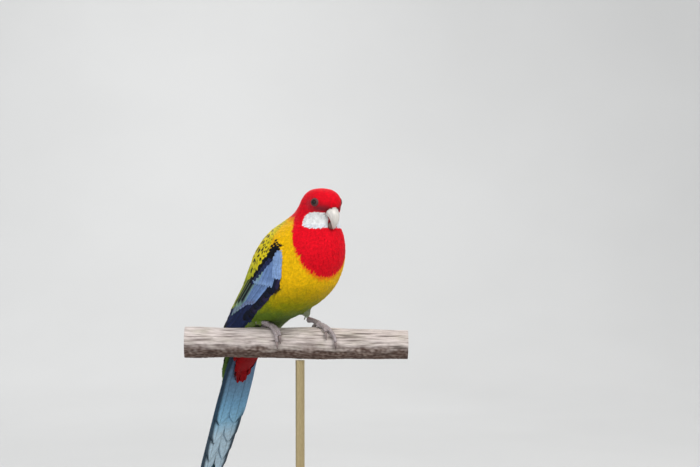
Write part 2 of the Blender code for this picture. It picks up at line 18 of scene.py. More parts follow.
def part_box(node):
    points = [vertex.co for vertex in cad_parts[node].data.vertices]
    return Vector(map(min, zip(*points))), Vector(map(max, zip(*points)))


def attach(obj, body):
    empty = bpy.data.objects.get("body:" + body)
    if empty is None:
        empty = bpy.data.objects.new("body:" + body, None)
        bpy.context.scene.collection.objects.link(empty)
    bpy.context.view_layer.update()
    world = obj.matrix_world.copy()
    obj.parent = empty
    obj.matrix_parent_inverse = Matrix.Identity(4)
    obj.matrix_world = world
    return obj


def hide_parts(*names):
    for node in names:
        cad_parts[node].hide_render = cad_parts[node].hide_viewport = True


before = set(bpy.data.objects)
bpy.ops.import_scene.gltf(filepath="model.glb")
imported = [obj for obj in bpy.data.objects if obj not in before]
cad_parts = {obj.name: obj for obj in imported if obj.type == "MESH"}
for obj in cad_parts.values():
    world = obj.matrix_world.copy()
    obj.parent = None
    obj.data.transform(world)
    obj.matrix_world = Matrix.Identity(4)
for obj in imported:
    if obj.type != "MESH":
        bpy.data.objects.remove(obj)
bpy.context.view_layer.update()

MM = 0.001
SIDES = ("left", "right")
FLESH = (
    "head", "neck", "trunk", "thigh_left", "thigh_right", "wing_left", "wing_right",
    "uppertail_coverts", "undertail_coverts",
)
RANKS = range(1, 7)  # of the tail's feathers on each side, the first in the middle of the tail

SKIN_VOXEL, SMALL_VOXEL, CLAW_VOXEL = 1.1, 0.42, 0.26
SKIN_SWELL = 1.3  # closes the gaps and creases between the solids before they become one skin
COAT_DEPTH = 1.3
FACE_DEPTH = 0.55
PERCH_RADIUS = 13.6
EYE_GAP = 3.25  # bare round each eye, from its axis
SEED = 11
ROOTS_TRIED, ROOTS_QUICK = 280000, 60000
MOST_TRIANGLES = 180000  # in one piece of the coat
STEEP = 0.86  # a coat that runs into the skin as steeply as this can't lie along it
BAKE_PATCH = 0.003
UNWRAP_START, UNWRAP_LENGTH = -40.0, 330.0  # along the body's axis, from the point between the eyes


# ---- small tools


def unit(vectors):
    """The same directions, one long."""
    return vectors / np.maximum(np.linalg.norm(vectors, axis=-1, keepdims=True), 1e-9)


def blend_step(low, high, values):
    """0 below low, 1 above high and smooth between."""
    share = np.clip((values - low) / (high - low), 0.0, 1.0)
    return share * share * (3.0 - 2.0 * share)


def bell(values, middle, spread):
    """1 at the middle, falling away on both sides."""
    return np.exp(-(((values - middle) / spread) ** 2))


def mix(first, second, share):
    """Rows of first turning into rows of second."""
    share = np.asarray(share)[..., None]
    return np.asarray(first) * (1.0 - share) + np.asarray(second) * share


def ramp(values, stops):
    """Colours read off a list of (value, colour) stops."""
    places = [stop[0] for stop in stops]
    colours = np.array([stop[1] for stop in stops])
    return np.stack([np.interp(values, places, colours[:, i]) for i in range(3)], -1)


def read_off(value, stops):
    """Numbers read off a list of (value, number) stops."""
    return np.interp(value, *zip(*stops))


def facing(vector, way):
    """A vector or its opposite, whichever points more towards a way."""
    return vector if vector @ np.array(way) > 0.0 else -vector


def box_centre(node):
    """The middle of a solid's box."""
    low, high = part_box(node)
    return np.array((low + high) / 2) / MM


def box_floor(node):
    """The middle of the underside of a solid's box."""
    centre = box_centre(node)
    centre[2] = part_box(node)[0].z / MM
    return centre


def read(items, name, kind, width=3):
    """One property of all of a mesh's items, a row for each."""
    values = np.empty(len(items) * width, kind)
    items.foreach_get(name, values)
    return values.reshape(-1, width)


def read_mesh(mesh):
    """The corners of a mesh, still in metres, and its triangles."""
    mesh.calc_loop_triangles()
    return read(mesh.vertices, "co", np.float32), read(mesh.loop_triangles, "vertices", np.int32)


def solid(*nodes):
    """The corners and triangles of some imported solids, and the index of each triangle's node."""
    corners, triangles, owners, count = [], [], [], 0
    for index, node in enumerate(nodes):
        places, faces = read_mesh(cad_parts[node].data)
        corners.append(places / MM)
        triangles.append(faces + count)
        owners.append(np.full(len(faces), index))
        count += len(places)
    return np.concatenate(corners).astype(float), np.concatenate(triangles), np.concatenate(owners)


def ray_hits(tree, starts, ways, missed):
    """Where rays first meet a surface, or the place that is given for a ray that misses it."""
    hits = missed.copy()
    for i, (start, way) in enumerate(zip(starts.tolist(), ways.tolist())):
        hit = tree.ray_cast(start, way)[0]
        if hit is not None:
            hits[i] = hit
    return hits


def near_tree(points):
    """A tree that finds the points near a place."""
    tree = KDTree(len(points))
    for i, point in enumerate(points.tolist()):
        tree.insert(point, i)
    tree.balance()
    return tree


def spaced(points, gaps, order):
    """The points that are left when each, taken in order, clears away those within its gap."""
    tree = near_tree(points)
    free = np.ones(len(points), bool)
    kept = []
    for i in order:
        if free[i]:
            kept.append(i)
            for _, j, _ in tree.find_range(points[i], gaps[i]):
                free[j] = False
    return kept


def face_vectors(corners, triangles):
    """The normal of each triangle, as long as twice its area."""
    spans = corners[triangles]
    return np.cross(spans[:, 1] - spans[:, 0], spans[:, 2] - spans[:, 0])


class Surface:
    """A triangle mesh that can be searched for the place nearest to a point."""

    def __init__(self, corners, triangles, owners=None):
        self.corners = corners
        self.triangles = triangles
        self.owners = owners
        self.tree = BVHTree.FromPolygons(corners.tolist(), triangles.tolist())
        faces = face_vectors(corners, triangles)
        self.areas = np.linalg.norm(faces, axis=1) / 2.0
        normals = np.zeros_like(corners)
        for i in range(3):
            np.add.at(normals, triangles[:, i], faces)
        self.normals = unit(normals)

    def nearest(self, points):
        """The nearest places, the normals there and the triangles that hold them."""
        found = [self.tree.find_nearest(point) for point in points.tolist()]
        places = np.array([hit[0][:] for hit in found])
        faces = np.array([hit[2] for hit in found])
        spans = self.corners[self.triangles[faces]]
        weights = barycentric(places, spans)
        normals = unit((self.normals[self.triangles[faces]] * weights[:, :, None]).sum(1))
        return places, normals, faces


def barycentric(points, spans):
    """The weights of each triangle's corners at a point in it."""
    first, second, to_point = (place - spans[:, 0] for place in (spans[:, 1], spans[:, 2], points))
    aa, ab, bb = (first * first).sum(1), (first * second).sum(1), (second * second).sum(1)
    pa, pb = (to_point * first).sum(1), (to_point * second).sum(1)
    base = np.maximum(aa * bb - ab * ab, 1e-12)
    v, w = (bb * pa - ab * pb) / base, (aa * pb - ab * pa) / base
    return np.clip(np.stack([1.0 - v - w, v, w], 1), 0.0, 1.0)


def lattice(rows, columns, closed_rows=False, closed_columns=False):
    """The triangles of a grid of corners, whose rows or columns may run round to their start."""
    row = np.arange(rows - (not closed_rows))[:, None]
    column = np.arange(columns - (not closed_columns))[None, :]
    below, beside = (row + 1) % rows * columns, (column + 1) % columns
    a, b = row * columns + column, row * columns + beside
    c, d = below + beside, below + column
    return np.stack([np.stack([a, b, c], -1), np.stack([a, c, d], -1)]).reshape(-1, 3)


def band(outer, inner):
    """The triangles between two closed rings of corners."""
    outer_next, inner_next = np.roll(outer, -1), np.roll(inner, -1)
    return np.concatenate([
        np.stack([outer, inner, inner_next], 1), np.stack([outer, inner_next, outer_next], 1),
    ])


def fan(hub, ring):
    """The triangles from one corner to each edge of a closed ring of corners."""
    return np.stack([np.full(len(ring), hub), ring, np.roll(ring, -1)], 1)


def edges_of(triangles):
    """The edges of triangles, as pairs of corners."""
    return np.concatenate([triangles[:, (0, 1)], triangles[:, (1, 2)], triangles[:, (2, 0)]])


def triangle_mesh(name, corners, triangles):
    """A smooth-shaded mesh of triangles, from lengths in millimetres."""
    mesh = bpy.data.meshes.new(name)
    mesh.vertices.add(len(corners))
    mesh.vertices.foreach_set("co", (corners * MM).astype(np.float32).ravel())
    mesh.loops.add(triangles.size)
    mesh.loops.foreach_set("vertex_index", triangles.astype(np.int32).ravel())
    mesh.polygons.add(len(triangles))
    mesh.polygons.foreach_set("loop_start", np.arange(0, triangles.size, 3, dtype=np.int32))
    mesh.update(calc_edges=True)
    mesh.polygons.foreach_set("use_smooth", np.ones(len(triangles), bool))
    mesh.update()
    return mesh


def placed(name, data):
    """A new object in the scene."""
    thing = bpy.data.objects.new(name, data)
    bpy.context.scene.collection.objects.link(thing)
    return thing


def add_piece(name, corners, triangles, coat, material, slot, *replaced, heart=None, **maps):
    """A piece of the model with the colours of its corners and its UV maps, in place of some solids."""
    mesh = triangle_mesh(name, corners, triangles)
    for layer, colours in (("coat", coat), ("heart", heart)):
        if colours is not None:
            rgba = np.ones((len(corners), 4), np.float32)
            rgba[:, :3] = colours
            painted = mesh.color_attributes.new(name=layer, type="FLOAT_COLOR", domain="POINT")
            painted.data.foreach_set("color", rgba.ravel())
    loops = read(mesh.loops, "vertex_index", np.int32, 1)[:, 0]
    for layer, places in maps.items():
        unrolled = mesh.uv_layers.new(name=layer, do_init=False)
        unrolled.data.foreach_set("uv", places[loops].astype(np.float32).ravel())
    mesh.materials.append(material)
    piece = placed(name, mesh)
    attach(piece, "root")
    if replaced:
        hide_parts(*replaced)


def remeshed(nodes, voxel, swell, rounds):
    """The outer surface of some solids as one even, smoothed mesh."""
    shell = bmesh.new()
    for node in nodes:
        shell.from_mesh(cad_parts[node].data)
    bmesh.ops.remove_doubles(shell, verts=shell.verts, dist=1e-6)
    mesh = bpy.data.meshes.new("shell")
    shell.to_mesh(mesh)
    shell.free()
    holder = placed("shell", mesh)
    if swell:
        grow = holder.modifiers.new("grow", "DISPLACE")
        grow.strength = swell * MM
        grow.mid_level = 0.0
    grid = holder.modifiers.new("grid", "REMESH")
    grid.mode = "VOXEL"
    grid.voxel_size = voxel * MM
    relax = holder.modifiers.new("relax", "SMOOTH")
    relax.factor = 0.5
    relax.iterations = rounds
    shaped = holder.evaluated_get(bpy.context.evaluated_depsgraph_get())
    done = bpy.data.meshes.new_from_object(shaped)
    bpy.data.objects.remove(holder)
    corners, triangles = read_mesh(done)
    bpy.data.meshes.remove(done)
    return largest_shell(corners.astype(float) / MM, triangles)


def largest_shell(corners, triangles):
    """Only the biggest connected part of a mesh."""
    label = np.arange(len(corners))
    edges = edges_of(triangles)
    while True:
        lowest = label.copy()
        np.minimum.at(lowest, edges[:, 0], label[edges[:, 1]])
        np.minimum.at(lowest, edges[:, 1], label[edges[:, 0]])
        lowest = lowest[lowest]
        if (lowest == label).all():
            break
        label = lowest
    names, counts = np.unique(label, return_counts=True)
    kept = label == names[counts.argmax()]
    order = np.cumsum(kept) - 1
    return corners[kept], order[triangles[kept[triangles].all(1)]]


# ---- the bird's places

PERCH_LOW, PERCH_HIGH = (np.array(corner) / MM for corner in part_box("perch"))
MIDLINE = (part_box("wing_left")[1].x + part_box("wing_right")[0].x) / 2 / MM
ORIGIN = np.array([MIDLINE, 0.0, (PERCH_LOW[2] + PERCH_HIGH[2]) / 2 + PERCH_RADIUS])

EYES = {side: box_centre(f"eye_{side}") for side in SIDES}
BETWEEN_EYES = (EYES["left"] + EYES["right"]) / 2
HEAD_ACROSS = unit(EYES["left"] - EYES["right"])
HEAD_AHEAD = unit(np.cross(HEAD_ACROSS, (0.0, 0.0, 1.0)))
HEAD_AXES = np.stack([HEAD_ACROSS, HEAD_AHEAD, (0.0, 0.0, 1.0)], 1)

EYE_AXES = {side: unit(HEAD_AXES @ (turn, 0.42, 0.10)) for side, turn in zip(SIDES, (1.0, -1.0))}
SHANKS = [box_floor(f"thigh_{side}") for side in SIDES]
BILL_ROOT = BETWEEN_EYES + HEAD_AXES @ (0.0, 10.0, -8.0)
BODY_LIE = unit(box_centre("uppertail_coverts") - box_centre("head"))
TAIL_LIE = unit(box_centre("tail_left_1") - box_centre("uppertail_coverts"))
CHEST_AXIS = -6.0  # how far behind the feet the chest's upright axis lies
NECK_HEIGHT = 88.0
BODY_TOP, BODY_SLANT = 66.0, 0.62  # below this height the body's axis leans back, so far for each step
BIB_TURN = 12.0  # the bib hangs a little to the bird's right, as its chest turns with the head
BIB_FLOOR, BIB_TOP = 47.5, 98.0
BIB_HALF = 28.0  # degrees from its middle to where its edge has risen by BIB_RISE
BIB_RISE = 7.4


def on_bird(points):
    """Places from the midline, the feet and the perch's top: to the left, to the back and up."""
    return points - ORIGIN


def on_head(points):
    """Places from the point between the eyes: to the left, ahead and up."""
    return (points - BETWEEN_EYES) @ HEAD_AXES


def from_bill(points):
    """How far places lie from the bill's root."""
    return np.linalg.norm(points - BILL_ROOT, axis=1)


def from_eye(points):
    """How far places lie from the axis of the nearer eye."""
    reach = np.full(len(points), 99.0)
    for side in SIDES:
        away = points - EYES[side]
        ahead = away @ EYE_AXES[side]
        around = np.linalg.norm(away - ahead[:, None] * EYE_AXES[side], axis=1)
        reach = np.where(ahead > 0.0, np.minimum(reach, around), reach)
    return reach


def from_shank(points):
    """How far places lie from the nearer heel."""
    return np.min([np.linalg.norm(points - shank, axis=1) for shank in SHANKS], 0)


def chest_angle(points):
    """Degrees round the chest from its front, positive on the bird's right."""
    left, back, _ = on_bird(points).T
    return np.degrees(np.arctan2(-left, -(back - CHEST_AXIS)))


def back_angle(points):
    """Degrees round the slanting body from its underside."""
    left, back, up = on_bird(points).T
    middle = CHEST_AXIS + BODY_SLANT * np.maximum(BODY_TOP - up, 0.0)
    return np.degrees(np.arctan2(np.abs(left), -(back - middle)))


def above_bib_edge(points):
    """How far a place lies inside the red of the head and bib, or negative outside it."""
    angle = np.abs(chest_angle(points) - BIB_TURN)
    share = np.minimum(angle, 360.0 - angle) / BIB_HALF
    edge = np.minimum(BIB_FLOOR + BIB_RISE * (share**2 + 0.06 * share**6), BIB_TOP)
    return on_bird(points)[:, 2] - edge


def ruffle(points, scale, amount):
    """A little smooth disorder at each place."""
    return np.array([noise.noise(Vector(point) / scale) for point in points.tolist()]) * amount


def flow(points):
    """The way the coat runs: away from the bill on the head, then down the body and along the tail."""
    down = mix(TAIL_LIE, BODY_LIE, blend_step(-8.0, 24.0, on_bird(points)[:, 2]))
    run = mix(unit(points - BILL_ROOT), unit(down), blend_step(14.0, 46.0, from_bill(points)))
    for eye in EYES.values():
        away = points - eye
        near = 1.0 - blend_step(3.0, 9.0, np.linalg.norm(away, axis=1))
        run = run + unit(away) * (0.5 * near)[:, None]
    return unit(run)


def lie(points, normals):
    """The way feathers lie on the skin: the run of the coat without its part across the skin."""
    run = flow(points)
    return unit(run - normals * (run * normals).sum(1, keepdims=True))


# ---- colours

SCARLET = (0.84, 0.001, 0.014)
DEEP_RED = (0.60, 0.001, 0.008)
ORANGE = (0.90, 0.20, 0.004)
GOLD = (0.92, 0.53, 0.001)
OLD_GOLD = (0.60, 0.40, 0.001)
OLIVE = (0.29, 0.29, 0.001)
LEAF = (0.12, 0.19, 0.016)
PALE_LEAF = (0.20, 0.27, 0.09)
LEMON = (0.82, 0.66, 0.012)
LIME = (0.42, 0.46, 0.020)
BRIGHT_LIME = (0.560, 0.660, 0.060)
MOSS = (0.11, 0.19, 0.040)
MOSS_YELLOW = (0.240, 0.270, 0.014)
RUMP_GREEN = (0.20, 0.27, 0.035)
JET = (0.004, 0.005, 0.008)
INK = (0.007, 0.012, 0.036)
NAVY = (0.017, 0.027, 0.090)
NAVY_EDGE = (0.20, 0.22, 0.44)
VIOLET = (0.026, 0.021, 0.066)
SKY = (0.170, 0.285, 0.560)
PALE_SKY = (0.250, 0.390, 0.680)
LAVENDER = (0.170, 0.190, 0.320)
MINT = (0.250, 0.420, 0.400)
PALE_MINT = (0.340, 0.560, 0.380)
CHEEK_WHITE = (0.86, 0.88, 0.88)
CHEEK_TINGE = (0.62, 0.70, 0.86)
LORE_RED = (0.16, 0.016, 0.026)
MAUVE = (0.42, 0.030, 0.048)
# Painted shadow: the dark brown laid on the feathers between the cheek and the bill, at the gape.
GAPE_PAINTED_SHADE = (0.11, 0.050, 0.040)
TROUSERS = (0.34, 0.38, 0.26)
# Painted shade: the undertail coverts' red is laid on much darker than the head's red, as the shade under
# the tail.
UNDERTAIL_RED_PAINTED_SHADE = (0.34, 0.004, 0.007)

BELLY = (  # for each height over the perch
    (0.0, PALE_LEAF), (6.0, LEAF), (13.0, LEAF), (21.0, OLIVE), (32.0, OLD_GOLD), (44.0, GOLD),
)
BACK = ((-20.0, MOSS), (4.0, RUMP_GREEN), (24.0, RUMP_GREEN), (42.0, LIME), (66.0, LEMON))
CHEEK_CENTRE = (1.5, -15.4)  # ahead of the eyes and up from them
CHEEK_REACH = (9.6, 7.2)
CHEEK_ROUNDNESS = 2.3
HEAD_HALF, BILL_HALF = 5.0, 3.2  # what lies nearer the head's midline keeps its red


def cheek_share(points):
    """1 inside the white cheek patch and 0 outside it."""
    across, ahead, up = on_head(points).T
    along = np.abs((ahead - CHEEK_CENTRE[0]) / CHEEK_REACH[0])
    rise = np.abs((up - CHEEK_CENTRE[1]) / CHEEK_REACH[1])
    inside = 1.0 - (along**CHEEK_ROUNDNESS + rise**CHEEK_ROUNDNESS) ** (1.0 / CHEEK_ROUNDNESS)
    return blend_step(-0.012, 0.012, inside) * (np.abs(across) > BILL_HALF)


def head_colours(points):
    """Red head and bib, white cheeks, darker red before and behind the eyes, and painted shadow at the
    gape.
    """
    across, ahead, up = on_head(points).T
    beside = np.abs(across) > HEAD_HALF
    red = mix(DEEP_RED, SCARLET, blend_step(50.0, 84.0, on_bird(points)[:, 2]) * 0.5 + 0.5)
    red = mix(red, LORE_RED, 0.95 * bell(ahead, 5.5, 8.0) * bell(up, -5.0, 3.4) * beside)
    red = mix(red, MAUVE, 0.6 * bell(ahead, -5.5, 4.5) * bell(up, -0.5, 4.5) * beside)
    # Painted shadow at the gape, between the cheek and the bill.
    red = mix(red, GAPE_PAINTED_SHADE, np.minimum(1.0, 1.3 * bell(ahead, 9.0, 2.4) * bell(up, -17.0, 2.6)))
    white = mix(CHEEK_WHITE, CHEEK_TINGE, blend_step(-17.0, -23.0, up) * 0.5)
    return mix(red, white, cheek_share(points))


def markings(points, owners):
    """The colour of the plumage at places on the body, and how dark the hearts of its feathers are."""
    height = on_bird(points)[:, 2]
    inside = above_bib_edge(points) + ruffle(points, 3.0, 1.2)
    back = blend_step(98.0, 106.0, back_angle(points))
    belly = ramp(height + ruffle(points, 7.0, 4.0), BELLY)
    coat = mix(belly, ramp(height + ruffle(points, 5.0, 6.0), BACK), back)
    heart = back * blend_step(26.0, 44.0, height) * blend_step(0.0, -3.0, inside)
    coat = mix(coat, ORANGE, blend_step(-5.0, -0.5, inside) * (1.0 - 0.5 * back))
    coat = mix(coat, head_colours(points), blend_step(-0.4, 0.4, inside))
    thigh = np.isin(owners, [FLESH.index(f"thigh_{side}") for side in SIDES])
    coat = mix(coat, TROUSERS, thigh * blend_step(22.0, 10.0, height))
    # The undertail coverts in their red, darkened as painted shade.
    coat = mix(coat, UNDERTAIL_RED_PAINTED_SHADE, owners == FLESH.index("undertail_coverts"))
    return coat, heart


# ---- materials


class Nodes:
    """Short ways to make and join the nodes of one material."""

    def __init__(self, name):
        self.material = bpy.data.materials.new(name)
        self.material.use_nodes = True
        self.tree = self.material.node_tree
        self.shader = self.tree.nodes["Principled BSDF"]

    def feed(self, socket, value):
        """Joins a socket to another node's output, or sets it to a number or a colour."""
        if isinstance(value, bpy.types.NodeSocket):
            self.tree.links.new(value, socket)
        elif socket.type == "RGBA":
            socket.default_value = (*value, 1.0)
        else:
            socket.default_value = value

    def add(self, kind, inputs=(), **settings):
        """A new node, with inputs by name or number."""
        node = self.tree.nodes.new(kind)
        for key, value in settings.items():
            setattr(node, key, value)
        for key, value in inputs:
            self.feed(node.inputs[key], value)
        return node

    def math(self, operation, *values):
        """A sum of outputs and numbers."""
        return self.add("ShaderNodeMath", enumerate(values), operation=operation).outputs[0]

    def colour(self, name="coat"):
        """The colours that the corners of the mesh carry."""
        return self.add("ShaderNodeVertexColor", layer_name=name).outputs["Color"]

    def unrolled(self, name):
        """Places on one of the mesh's UV maps."""
        return self.add("ShaderNodeUVMap", uv_map=name).outputs["UV"]

    def noise(self, scale, detail=3.0, stretch=None, roughness=0.5, source=None):
        """Noise through the object's own space or over another node's places."""
        if source is None:
            source = self.add("ShaderNodeTexCoord").outputs["Object"]
        if stretch:
            inputs = (("Scale", stretch), ("Vector", source))
            source = self.add("ShaderNodeMapping", inputs).outputs["Vector"]
        inputs = (("Scale", scale), ("Detail", detail), ("Roughness", roughness), ("Vector", source))
        return self.add("ShaderNodeTexNoise", inputs).outputs[0]

    def ramp(self, source, *stops):
        """Colours or greys for the values of a node's output."""
        node = self.add("ShaderNodeValToRGB", (("Fac", source),))
        elements = node.color_ramp.elements
        while len(elements) < len(stops):
            elements.new(1.0)
        for element, (place, colour) in zip(elements, stops):
            element.position = place
            element.color = (*np.broadcast_to(colour, 3), 1.0)
        return node.outputs["Color"]

    def blend(self, share, first, second, kind="MIX"):
        """Two colours mixed, or multiplied."""
        inputs = ((0, share), (6, first), (7, second))
        return self.add("ShaderNodeMix", inputs, data_type="RGBA", blend_type=kind).outputs[2]

    def tone(self, colour, scale, low, high):
        """A colour made a little darker and lighter by noise."""
        shade = self.ramp(self.noise(scale), (0.3, low), (0.7, high))
        return self.blend(1.0, colour, shade, "MULTIPLY")

    def bump(self, height, depth, strength):
        """Fine relief, so many millimetres deep."""
        inputs = (("Strength", strength), ("Distance", depth * MM), ("Height", height))
        self.feed(self.shader.inputs["Normal"], self.add("ShaderNodeBump", inputs).outputs["Normal"])

    def finish(self, colour, roughness, **values):
        """The finished material, with any other values of its shader."""
        self.feed(self.shader.inputs["Base Color"], colour)
        self.feed(self.shader.inputs["Roughness"], roughness)
        for key, value in values.items():
            self.feed(self.shader.inputs[key.replace("_", " ")], value)
        return self.material


def feather_material(name, barbs):
    """Vanes with a dark heart where the coat has one, and barbs that slant from the shaft."""
    nodes = Nodes(name)
    split = nodes.add("ShaderNodeSeparateXYZ", ((0, nodes.unrolled("Vane")),)).outputs
    across = nodes.math("ABSOLUTE", nodes.math("MULTIPLY_ADD", split["X"], 2.0, -1.0))
    along = split["Y"]
    past = nodes.math("MAXIMUM", nodes.math("SUBTRACT", along, 0.42), 0.0)
    wide = nodes.math("POWER", nodes.math("DIVIDE", across, 0.56), 2.0)
    deep = nodes.math("POWER", nodes.math("DIVIDE", past, 0.30), 2.0)
    inputs = (("Value", nodes.math("ADD", wide, deep)), ("From Min", 1.25), ("From Max", 0.75))
    heart = nodes.add("ShaderNodeMapRange", inputs, interpolation_type="SMOOTHSTEP")
    colour = nodes.blend(heart.outputs["Result"], nodes.colour(), nodes.colour("heart"))
    slant = nodes.math("MULTIPLY_ADD", across, -0.35, along)
    barb = nodes.math("SINE", nodes.math("MULTIPLY", slant, barbs * 2.0 * math.pi))
    nodes.bump(barb, 0.06, 0.5)
    colour = nodes.tone(colour, 420.0, 0.82, 1.12)
    return nodes.finish(colour, 0.62, Sheen_Weight=0.02, Sheen_Roughness=0.4, Specular_IOR_Level=0.10)


def toned_material(name, tones, roughness, relief=None, tint=None, **values):
    """The mesh's own colours under fine tones (scale, darkest, lightest), with a fine relief."""
    nodes = Nodes(name)
    colour = nodes.colour()
    if tint:
        colour = nodes.blend(1.0, colour, tint, "MULTIPLY")
    if relief:
        scale, detail, depth, strength = relief
        nodes.bump(nodes.noise(scale, detail), depth, strength)
    return nodes.finish(nodes.tone(colour, *tones), roughness, **values)


def horn_material(name, pale, dark, stretch, rough=0.36):
    """Bill or claw: horn with fine lines of growth, glossy where it is worn smooth."""
    nodes = Nodes(name)
    lines = nodes.noise(700.0, 3.0, (1.0, 1.0, stretch))
    colour = nodes.ramp(lines, (0.25, dark), (0.7, pale))
    colour = nodes.blend(0.55, colour, nodes.colour(), "MULTIPLY")
    nodes.bump(lines, 0.05, 0.3)
    wear = nodes.ramp(nodes.noise(700.0), (0.35, rough), (0.7, rough + 0.16))
    return nodes.finish(colour, wear, Specular_IOR_Level=0.5, Coat_Weight=0.15, Coat_Roughness=0.25)


def bark_material():
    """Weathered wood: bleached grain above, and rough brown bark below that is painted dark as shade."""
    nodes = Nodes("bark")
    grain = nodes.noise(1.0, 5.0, (9.0, 130.0, 1.0), 0.62, nodes.unrolled("Grain"))
    light = (0.32, (0.55, 0.52, 0.50)), (0.50, (1.0, 0.98, 0.96)), (0.68, (1.18, 1.16, 1.14))
    colour = nodes.blend(1.0, nodes.colour(), nodes.ramp(grain, *light), "MULTIPLY")
    nodes.bump(grain, 0.35, 0.7)
    return nodes.finish(colour, 0.82, Specular_IOR_Level=0.2)


def metal_material():
    """Brushed brass of the rod."""
    nodes = Nodes("stand_metal")
    lines = nodes.noise(500.0, 3.0, (6.0, 6.0, 0.4))
    colour = nodes.ramp(lines, (0.3, (0.46, 0.36, 0.19)), (0.7, (0.62, 0.50, 0.28)))
    nodes.bump(lines, 0.02, 0.3)
    return nodes.finish(colour, nodes.ramp(lines, (0.3, 0.28), (0.7, 0.42)), Metallic=1.0)


def wood_material():
    """Dark stained wood of the base, with its grain along one way."""
    nodes = Nodes("stand_wood")
    grain = nodes.noise(60.0, 6.0, (1.0, 9.0, 9.0), 0.62)
    stain = (0.25, (0.055, 0.026, 0.013)), (0.5, (0.12, 0.058, 0.028)), (0.75, (0.19, 0.10, 0.05))
    nodes.bump(grain, 0.08, 0.4)
    colour = nodes.ramp(grain, *stain)
    return nodes.finish(colour, 0.38, Specular_IOR_Level=0.45, Coat_Weight=0.35, Coat_Roughness=0.2)


# ---- the skin


def filled(corners, triangles, share, rounds):
    """A mesh whose creases are filled: corners move out towards their evened places, and none in."""
    edges = edges_of(triangles)
    counts = np.bincount(edges[:, 0], minlength=len(corners))
    even = corners
    for _ in range(rounds):
        means = [np.bincount(edges[:, 0], even[edges[:, 1], i], len(corners)) / counts for i in range(3)]
        even = even + (np.stack(means, 1) - even) * share[:, None]
    normals = Surface(corners, triangles).normals
    out = np.maximum(((even - corners) * normals).sum(1), 0.0)
    return corners + normals * out[:, None]


def coat_depth(points):
    """How thick the coat is: thin on the face, round the eyes and at the heels."""
    covered = blend_step(12.0, 26.0, from_bill(points))
    covered = np.minimum(covered, blend_step(5.0, 10.0, from_eye(points)))
    covered = np.minimum(covered, blend_step(6.0, 12.0, from_shank(points)))
    return COAT_DEPTH + (FACE_DEPTH - COAT_DEPTH) * (1.0 - covered)


def make_skin():
    """One skin for all the solids of flesh, inside them by the depth of the coat."""
    corners, triangles = remeshed((*FLESH, "eye_left", "eye_right"), SKIN_VOXEL, SKIN_SWELL, 12)
    crease = 1.0 - blend_step(8.0, 16.0, np.abs(on_bird(corners)[:, 2] - NECK_HEIGHT))
    corners = filled(corners, triangles, 0.9 * crease, 220)
    shell = Surface(corners, triangles)
    tail = Surface(*solid(*(f"tail_{side}_{rank}" for side in SIDES for rank in RANKS)))
    from_tail = np.linalg.norm(tail.nearest(corners)[0] - corners, axis=1)
    depth = coat_depth(corners) * blend_step(SKIN_SWELL, SKIN_SWELL + 2.0, from_tail) + SKIN_SWELL
    return Surface(corners - shell.normals * depth[:, None], triangles)


def dress_skin(skin, owners, material):
    """The skin as a piece of the model, in the same markings as the coat, and darkened as painted shade."""
    coat, heart = markings(skin.corners, owners)
    # Painted shade: the skin is laid near black under the wings' own rows of feathers and where the
    # mantle's feathers have dark hearts.
    coat = mix(coat, JET, np.maximum(heart * 0.9, in_wing_rows(skin.corners) * 0.9))
    coat = mix((0.12, 0.05, 0.05), coat, blend_step(EYE_GAP, EYE_GAP + 1.5, from_eye(skin.corners)))
    add_piece("skin", skin.corners, skin.triangles, coat, material, "plumage_red", *FLESH)


# ---- feathers

VANE_COLUMNS = np.array([-1.0, -0.66, -0.33, -0.08, 0.0, 0.08, 0.4, 0.7, 1.0])  # close at the shaft
ROOT_GAPS = (  # for each height over the perch
    (-30.0, 1.15), (10.0, 1.2), (30.0, 1.45), (60.0, 1.35), (84.0, 1.10), (98.0, 0.92), (112.0, 0.80),
)
BACK_GAPS = ((0.0, 0.6), (20.0, 0.9), (40.0, 2.2), (55.0, 2.8), (84.0, 2.6), (96.0, 0.6))  # added behind


def vane_outline(stations, columns, tip, root_width=0.5, notch=0.10, tip_width=0.28, fray=0.05):
    """One vane with frayed edges: along (0 to 1), across (-1 to 1), their even places and its triangles."""
    along = np.linspace(0.0, 1.0, stations) ** 0.9
    swell = root_width + (1.0 - root_width) * blend_step(0.0, 0.45, along)
    past = np.clip((along - (1.0 - tip)) / tip, 0.0, 1.0)
    width = swell * np.maximum(np.sqrt(1.0 - past**2), tip_width)
    across = np.linspace(-1.0, 1.0, columns)
    a = np.repeat(along[:, None], columns, 1)
    b = across[None, :] * width[:, None]
    plain = np.stack([np.broadcast_to(across, a.shape), a], -1)
    outer = np.abs(across) > 0.99
    teeth = (np.arange(stations) % 2 == 0) & (along > 0.2)
    b[np.ix_(teeth, outer)] *= 1.0 - notch
    a[np.ix_(~teeth, outer)] += 2.0 * notch / stations
    a[-1, :] -= fray * (np.arange(columns) % 2)
    return a.ravel(), b.ravel(), plain.reshape(-1, 2), lattice(stations, columns)


def long_outline(stations, tip, root_width, tip_width):
    """The outline of a large vane, with clean edges and close columns at its shaft."""
    columns = len(VANE_COLUMNS)
    a, b, plain, triangles = vane_outline(stations, columns, tip, root_width, 0.0, tip_width, 0.0)
    a = a.reshape(stations, columns)
    a = a - 0.035 * VANE_COLUMNS**2 * blend_step(0.7, 1.0, a)
    b = np.outer(b.reshape(stations, columns)[:, -1], VANE_COLUMNS)
    plain[:, 0] = np.tile(VANE_COLUMNS, stations)
    return a.ravel(), b.ravel(), plain, triangles


